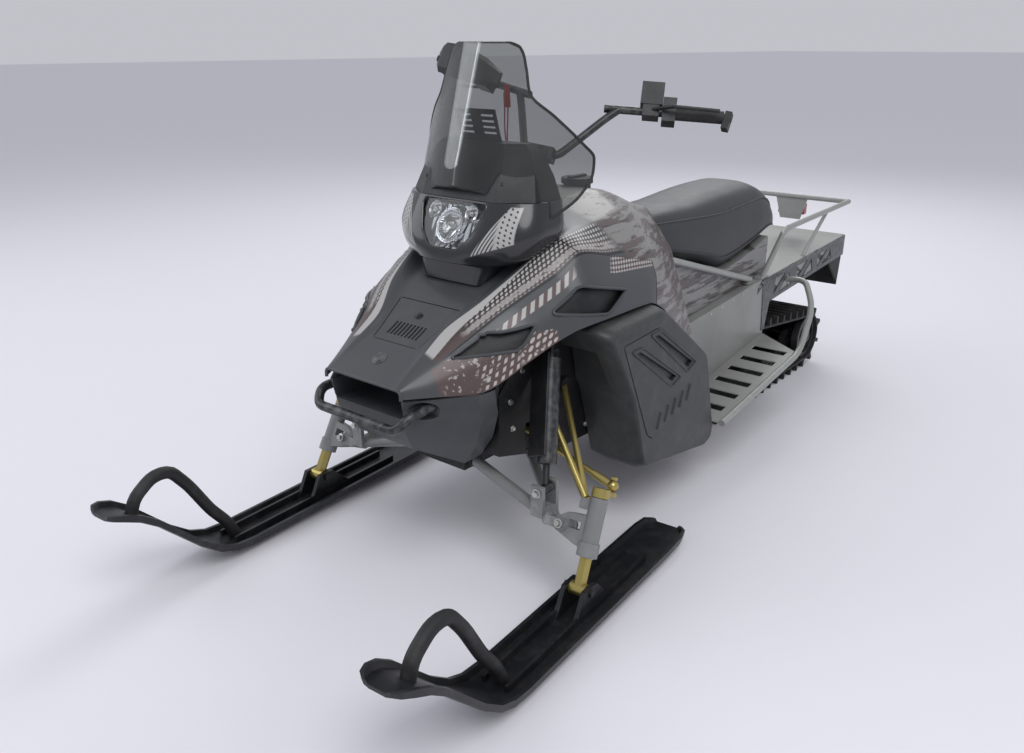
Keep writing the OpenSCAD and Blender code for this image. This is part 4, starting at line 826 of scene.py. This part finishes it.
link("windshield_sheet", me, smoked, "chassis", ["windshield"])
path = [(-h * MM, shield_y(h, z) * MM, z * MM) for z, h in rows]
path += [(h * MM, shield_y(h, z) * MM, z * MM) for z, h in reversed(rows)]
low = [(150, 905), (120, 950), (70, 968), (0, 974), (-70, 968), (-120, 950), (-150, 905)]
trim = [tube(path, 0.0036, 8), tube([(x * MM, shield_y(x, z) * MM, z * MM) for x, z in low], 0.003, 8)]
pins = []
for s in (1, -1):
    for x, z in ((196, 905), (168, 936), (120, 985)):
        n_ = Vector((s * 2 * 0.0024 * x * -1, -1, 0.31)).normalized()
        pins.append(disc((s * x * MM, shield_y(x, z) * MM - 0.001, z * MM), n_, 0.008, 0.005))
# the trim stays below the CAD sheet's top edge
TRIM_TOP = 1.3058
for me in trim:
    for vert in me.vertices:
        vert.co.z = min(vert.co.z, TRIM_TOP)
detail("windshield_trim", trim + pins, rubber, "chassis")

# ---------------------------------------------------------------- seat

# y, top z, underside z, share of the half width
SEAT = [[92, 806, 672, 0.66], [200, 812, 644, 0.80], [350, 818, 604, 0.92], [462, 826, 572, 0.98],
        [590, 832, 590, 1.00], [720, 832, 620, 0.99], [800, 810, 640, 0.95], [868, 752, 648, 0.88],
        [912, 674, 652, 0.78]]
SEAT_HALF = 168
rings, piping = [], []
for y, h, lo, k in finer(SEAT, 9):
    wd, d = SEAT_HALF * k, h - lo
    crease = 3.0 * math.exp(-((y - 300) / 26) ** 2) + 2.0 * math.exp(-((y - 560) / 30) ** 2)
    side = [(wd * 0.82, lo), (wd, lo + d * 0.16), (wd * 0.985, h - d * 0.40), (wd * 0.80, h - d * 0.10),
            (wd * 0.42, h + 1 - crease)]
    ring = side + [(0, h + 3.0 - crease)] + [(-x, z) for x, z in reversed(side)]
    ring = round_poly([(x, z, 0) for x, z in ring], 34, 5)
    rings.append([(p[0] * MM, y * MM, p[1] * MM) for p in ring])
    piping.append((wd * 0.905, y, h - d * 0.235))
seat_me = loft(rings)
shade(seat_me, 55)
seat_o = link("seat_cushion", seat_me, vinyl, "chassis", ["seat"])
seams = []
for s in (1, -1):
    seams.append(tube([(s * (x - 1.0) * MM, y * MM, (z - 1.0) * MM) for x, y, z in piping], 0.0024, 8))
    low_seam = [(s * (SEAT_HALF * k * 0.998 - 0.4) * MM, y * MM, (lo + (h - lo) * 0.17) * MM)
                for y, h, lo, k in finer(SEAT, 9)]
    seams.append(tube(low_seam, 0.0026, 8))
detail("seat_piping", seams, vinyl, "chassis")

# ---------------------------------------------------------------- side pans

PAN = [[-590, 634], [-560, 646], [-318, 649.1], [-300, 640], [-42, 452], [-30, 430], [46, 168], [38, 140],
       [0, 126], [-372, 190], [-396, 206], [-462, 420]]
PANEL = [[-520, 590], [-346, 600], [-120, 444], [-86, 352], [-150, 318], [-348, 280], [-380, 300]]

def grow(pts, c, g):
    out = []
    for p in pts:
        d = (p[0] - c[0], p[1] - c[1])
        k = 1 + g / math.hypot(*d)
        out.append((c[0] + d[0] * k, c[1] + d[1] * k))
    return out

pan_rows = finer([[206.4, 0.97], [260, 1.0], [334, 1.0], [366, 0.965], [376, 0.935], [380, 0.91]], 4)
for s, side in ((1, "left"), (-1, "right")):
    rings = []
    for x, k in pan_rows:
        o = [(-270 + (p[0] + 270) * k, 400 + (p[1] - 400) * k, 0) for p in PAN]
        rings.append([(s * x * MM, p[0] * MM, p[1] * MM) for p in round_poly(o, 16, 4)])
    p = temp("pan", loft(rings))
    a, b = (370, 385) if s > 0 else (-385, -370)
    c0, c1 = (0, 320) if s > 0 else (-320, 0)
    cuts = [cutter(prism(rounded_outline(grow(PANEL, (-290, 430), 2.0), 14), a, b)),
            cutter(prism([[-700, 300], [-700, 600], [-500, 560], [-470, 420], [-440, 300]], c0, c1))]
    boolean(p, cuts); drop(*cuts)
    me = p.data
    shade(me, 28)
    drop(p)
    link("side_pan_" + side, me, pan_mat, "chassis", ["side_pans"] if s > 0 else [])
dress("access_panels", 2.2, 3)
# ridges on the access panel: frames of the two vents, and a row of slanted bars
RIDGE_X = 0.3822
PANEL_VENTS = [[[-482, 566], [-430, 566], [-214, 426], [-262, 408]],
               [[-392, 590], [-340, 590], [-130, 448], [-176, 428]]]
ribs = []
for s in (1, -1):
    X = s * RIDGE_X
    for q in PANEL_VENTS:
        ribs.append(tube([(X, p[0] * MM, p[1] * MM) for p in rounded_outline(q, 8)], 0.0036, 8, closed=True))
    for i in range(5):
        y0 = -330 + i * 40
        z0 = 302 + i * 9
        a, b = Vector((X, y0 * MM, z0 * MM)), Vector((X, (y0 + 16) * MM, (z0 + 46) * MM))
        ribs.append(tube([a, b], 0.0042, 8))
detail("access_panel_ridges", ribs, pan_mat, "chassis")

# ---------------------------------------------------------------- plain pieces

BEVELS = {"front_cover": 9, "bulkhead": 1.2, "engine": 5, "shock_covers": 2.5, "seat_base": 4, "tunnel": 0.8,
          "rear_plates": 0.8, "running_boards": 0.8, "snow_flap": 1.5, "track": 1.6, "controls": 2.5,
          "hand_guard": 3, "knuckles": 2.5, "lower_arms": 1.5, "rack": 0.8, "ski_left": 1.6, "ski_right": 1.6,
          "fuel_cap": 2.5, "tail_light": 4, "slide_rails": 1, "rear_idlers": 1.5}
DONE = {"hood", "tank_cover", "nose_panel", "headlight_pod", "headlight", "windshield", "dash", "seat",
        "side_pans", "access_panels"}
# bent tubes and the hand guard keep their fine facets
CURVED = {"bumper", "ski_loop_left", "ski_loop_right", "handlebar", "board_tubes", "hand_guard"}
for name in frame["nodes"]:
    if name not in DONE:
        b = BEVELS.get(name, 1.0)
        curved = name in CURVED
        dress(name, 0 if curved and name != "hand_guard" else b, 3 if b > 2 else 2, 48 if curved else 34,
              dissolve=0.2 if curved else 0.5)

# ---------------------------------------------------------------- bolts and rivets

def mirror_bolt(p, axis, r):
    """A bolt at p in mm on the left, and its mirror image on the right."""
    return [bolt((s * p[0] * MM, p[1] * MM, p[2] * MM), (s * axis[0], axis[1], axis[2]), r * MM) for s in (1, -1)]

# ends of the lower arm's pin, and the middle of the shock's lower pin
PIN_FRONT, PIN_BACK, FOOT = (394.5, -805.8, 222.3), (394.5, -737.5, 189.0), (327.0, -768.0, 279.0)
PIN_AXIS = tuple(b - a for a, b in zip(PIN_FRONT, PIN_BACK))
FOOT_HALF = 35.5
heads = mirror_bolt(PIN_FRONT, [-v for v in PIN_AXIS], 8.5)
heads += mirror_bolt(PIN_BACK, PIN_AXIS, 8.5)
heads += mirror_bolt((FOOT[0], FOOT[1] - FOOT_HALF, FOOT[2]), (0, -1, 0), 9)
heads += mirror_bolt((FOOT[0], FOOT[1] + FOOT_HALF, FOOT[2]), (0, 1, 0), 9)
detail("arm_bolts", heads, bright, "chassis")
heads = []
for y, z in ((-752, 470), (-744, 396), (-706, 540), (-590, 520), (-420, 400), (-420, 300)):
    heads += mirror_bolt((202.5, y, z), (1, 0, 0), 6)
detail("bulkhead_bolts", heads, bright, "chassis")
# rivets along the tunnel's side
TUNNEL_HALF = 206.0

def tunnel_top(y):
    return 458 + (y - 173) * 33 / 457 if y < 630 else 491 + (y - 630) * 42 / 882

rivets = []
for s in (1, -1):
    for y in range(300, 1421, 80):
        for down in (12, 74) if y > 800 else (12,):
            spot = (s * TUNNEL_HALF * MM, y * MM, (tunnel_top(y) - down) * MM)
            rivets.append(disc(spot, (s, 0, 0), 0.0045, 0.0022, n=10, bevel=0.2))
detail("tunnel_rivets", rivets, bright, "chassis")

# ---------------------------------------------------------------- stop switch sleeve and its cord

def smooth_path(points, n=6):
    """Catmull-Rom curve through points in mm, in metres."""
    P = [Vector(p) for p in points]
    P = [P[0] * 2 - P[1]] + P + [P[-1] * 2 - P[-2]]
    out = []
    for i in range(1, len(P) - 2):
        a, b, c, d = P[i - 1:i + 3]
        for k in range(n):
            u = k / n
            square, cube = a * 2 - b * 5 + c * 4 - d, b * 3 - a - c * 3 + d
            out.append((b * 2 + (c - a) * u + square * u * u + cube * u ** 3) * 0.5 * MM)
    return out + [P[-2] * MM]

sleeve = tube(smooth_path([(-196, -280, 1192), (-195, -279, 1166), (-194, -276, 1130)]), 0.0085, 14)
cord = tube(smooth_path([(-194, -276, 1134), (-196, -275, 1094), (-200, -272, 1056), (-208, -264, 1032),
                         (-220, -256, 1042), (-225, -254, 1078), (-223, -256, 1116), (-219, -263, 1150),
                         (-217, -266, 1170)]), 0.0022, 8)
detail("stop_cord", [sleeve, cord], red_mat, "steering")

# ---------------------------------------------------------------- stage, light and camera

FLOOR_Z = -0.001
floor_mesh = mesh_of([(-60, -60, FLOOR_Z), (60, -60, FLOOR_Z), (60, 140, FLOOR_Z), (-60, 140, FLOOR_Z)],
                     [(0, 1, 2, 3)])
floor = bpy.data.objects.new("floor", floor_mesh)
scene.collection.objects.link(floor)
ft = Tree("floor_pale")
floor_mesh.materials.append(ft.finish(srgb(232, 230, 236), rough=0.9, grain=0, tone=0.02))

world = bpy.data.worlds.new("sky")
scene.world = world
world.use_nodes = True
sky = world.node_tree.nodes["Background"]
sky.inputs[0].default_value = (0.80, 0.82, 0.88, 1)
sky.inputs[1].default_value = 0.66

def area(name, loc, target, size, power, color=(1, 1, 1)):
    l = bpy.data.lights.new(name, "AREA")
    l.shape, l.size, l.energy, l.color = "DISK", size, power, color
    o = bpy.data.objects.new(name, l)
    scene.collection.objects.link(o)
    o.location = loc
    o.rotation_euler = (Vector(target) - Vector(loc)).to_track_quat("-Z", "Y").to_euler()
area("key", (3.2, -2.6, 5.2), (0, 0, 0.5), 4.0, 150)
area("fill", (-4.5, -3.0, 3.5), (0, 0, 0.6), 4.0, 62, (0.92, 0.95, 1))
area("back", (-2.0, 4.5, 4.5), (0, 0, 0.6), 3.5, 95)

cam_data = bpy.data.cameras.new("camera")
cam_data.lens, cam_data.sensor_width = 31.4, 36
cam = bpy.data.objects.new("camera", cam_data)
scene.collection.objects.link(cam)
az, el = math.radians(39.14), math.radians(20.52)
cam.location = (1.498, -2.337, 1.304)
look = Vector((-math.sin(az) * math.cos(el), math.cos(az) * math.cos(el), -math.sin(el)))
cam.rotation_euler = look.to_track_quat("-Z", "Y").to_euler()
scene.camera = cam
scene.view_settings.view_transform = "Standard"
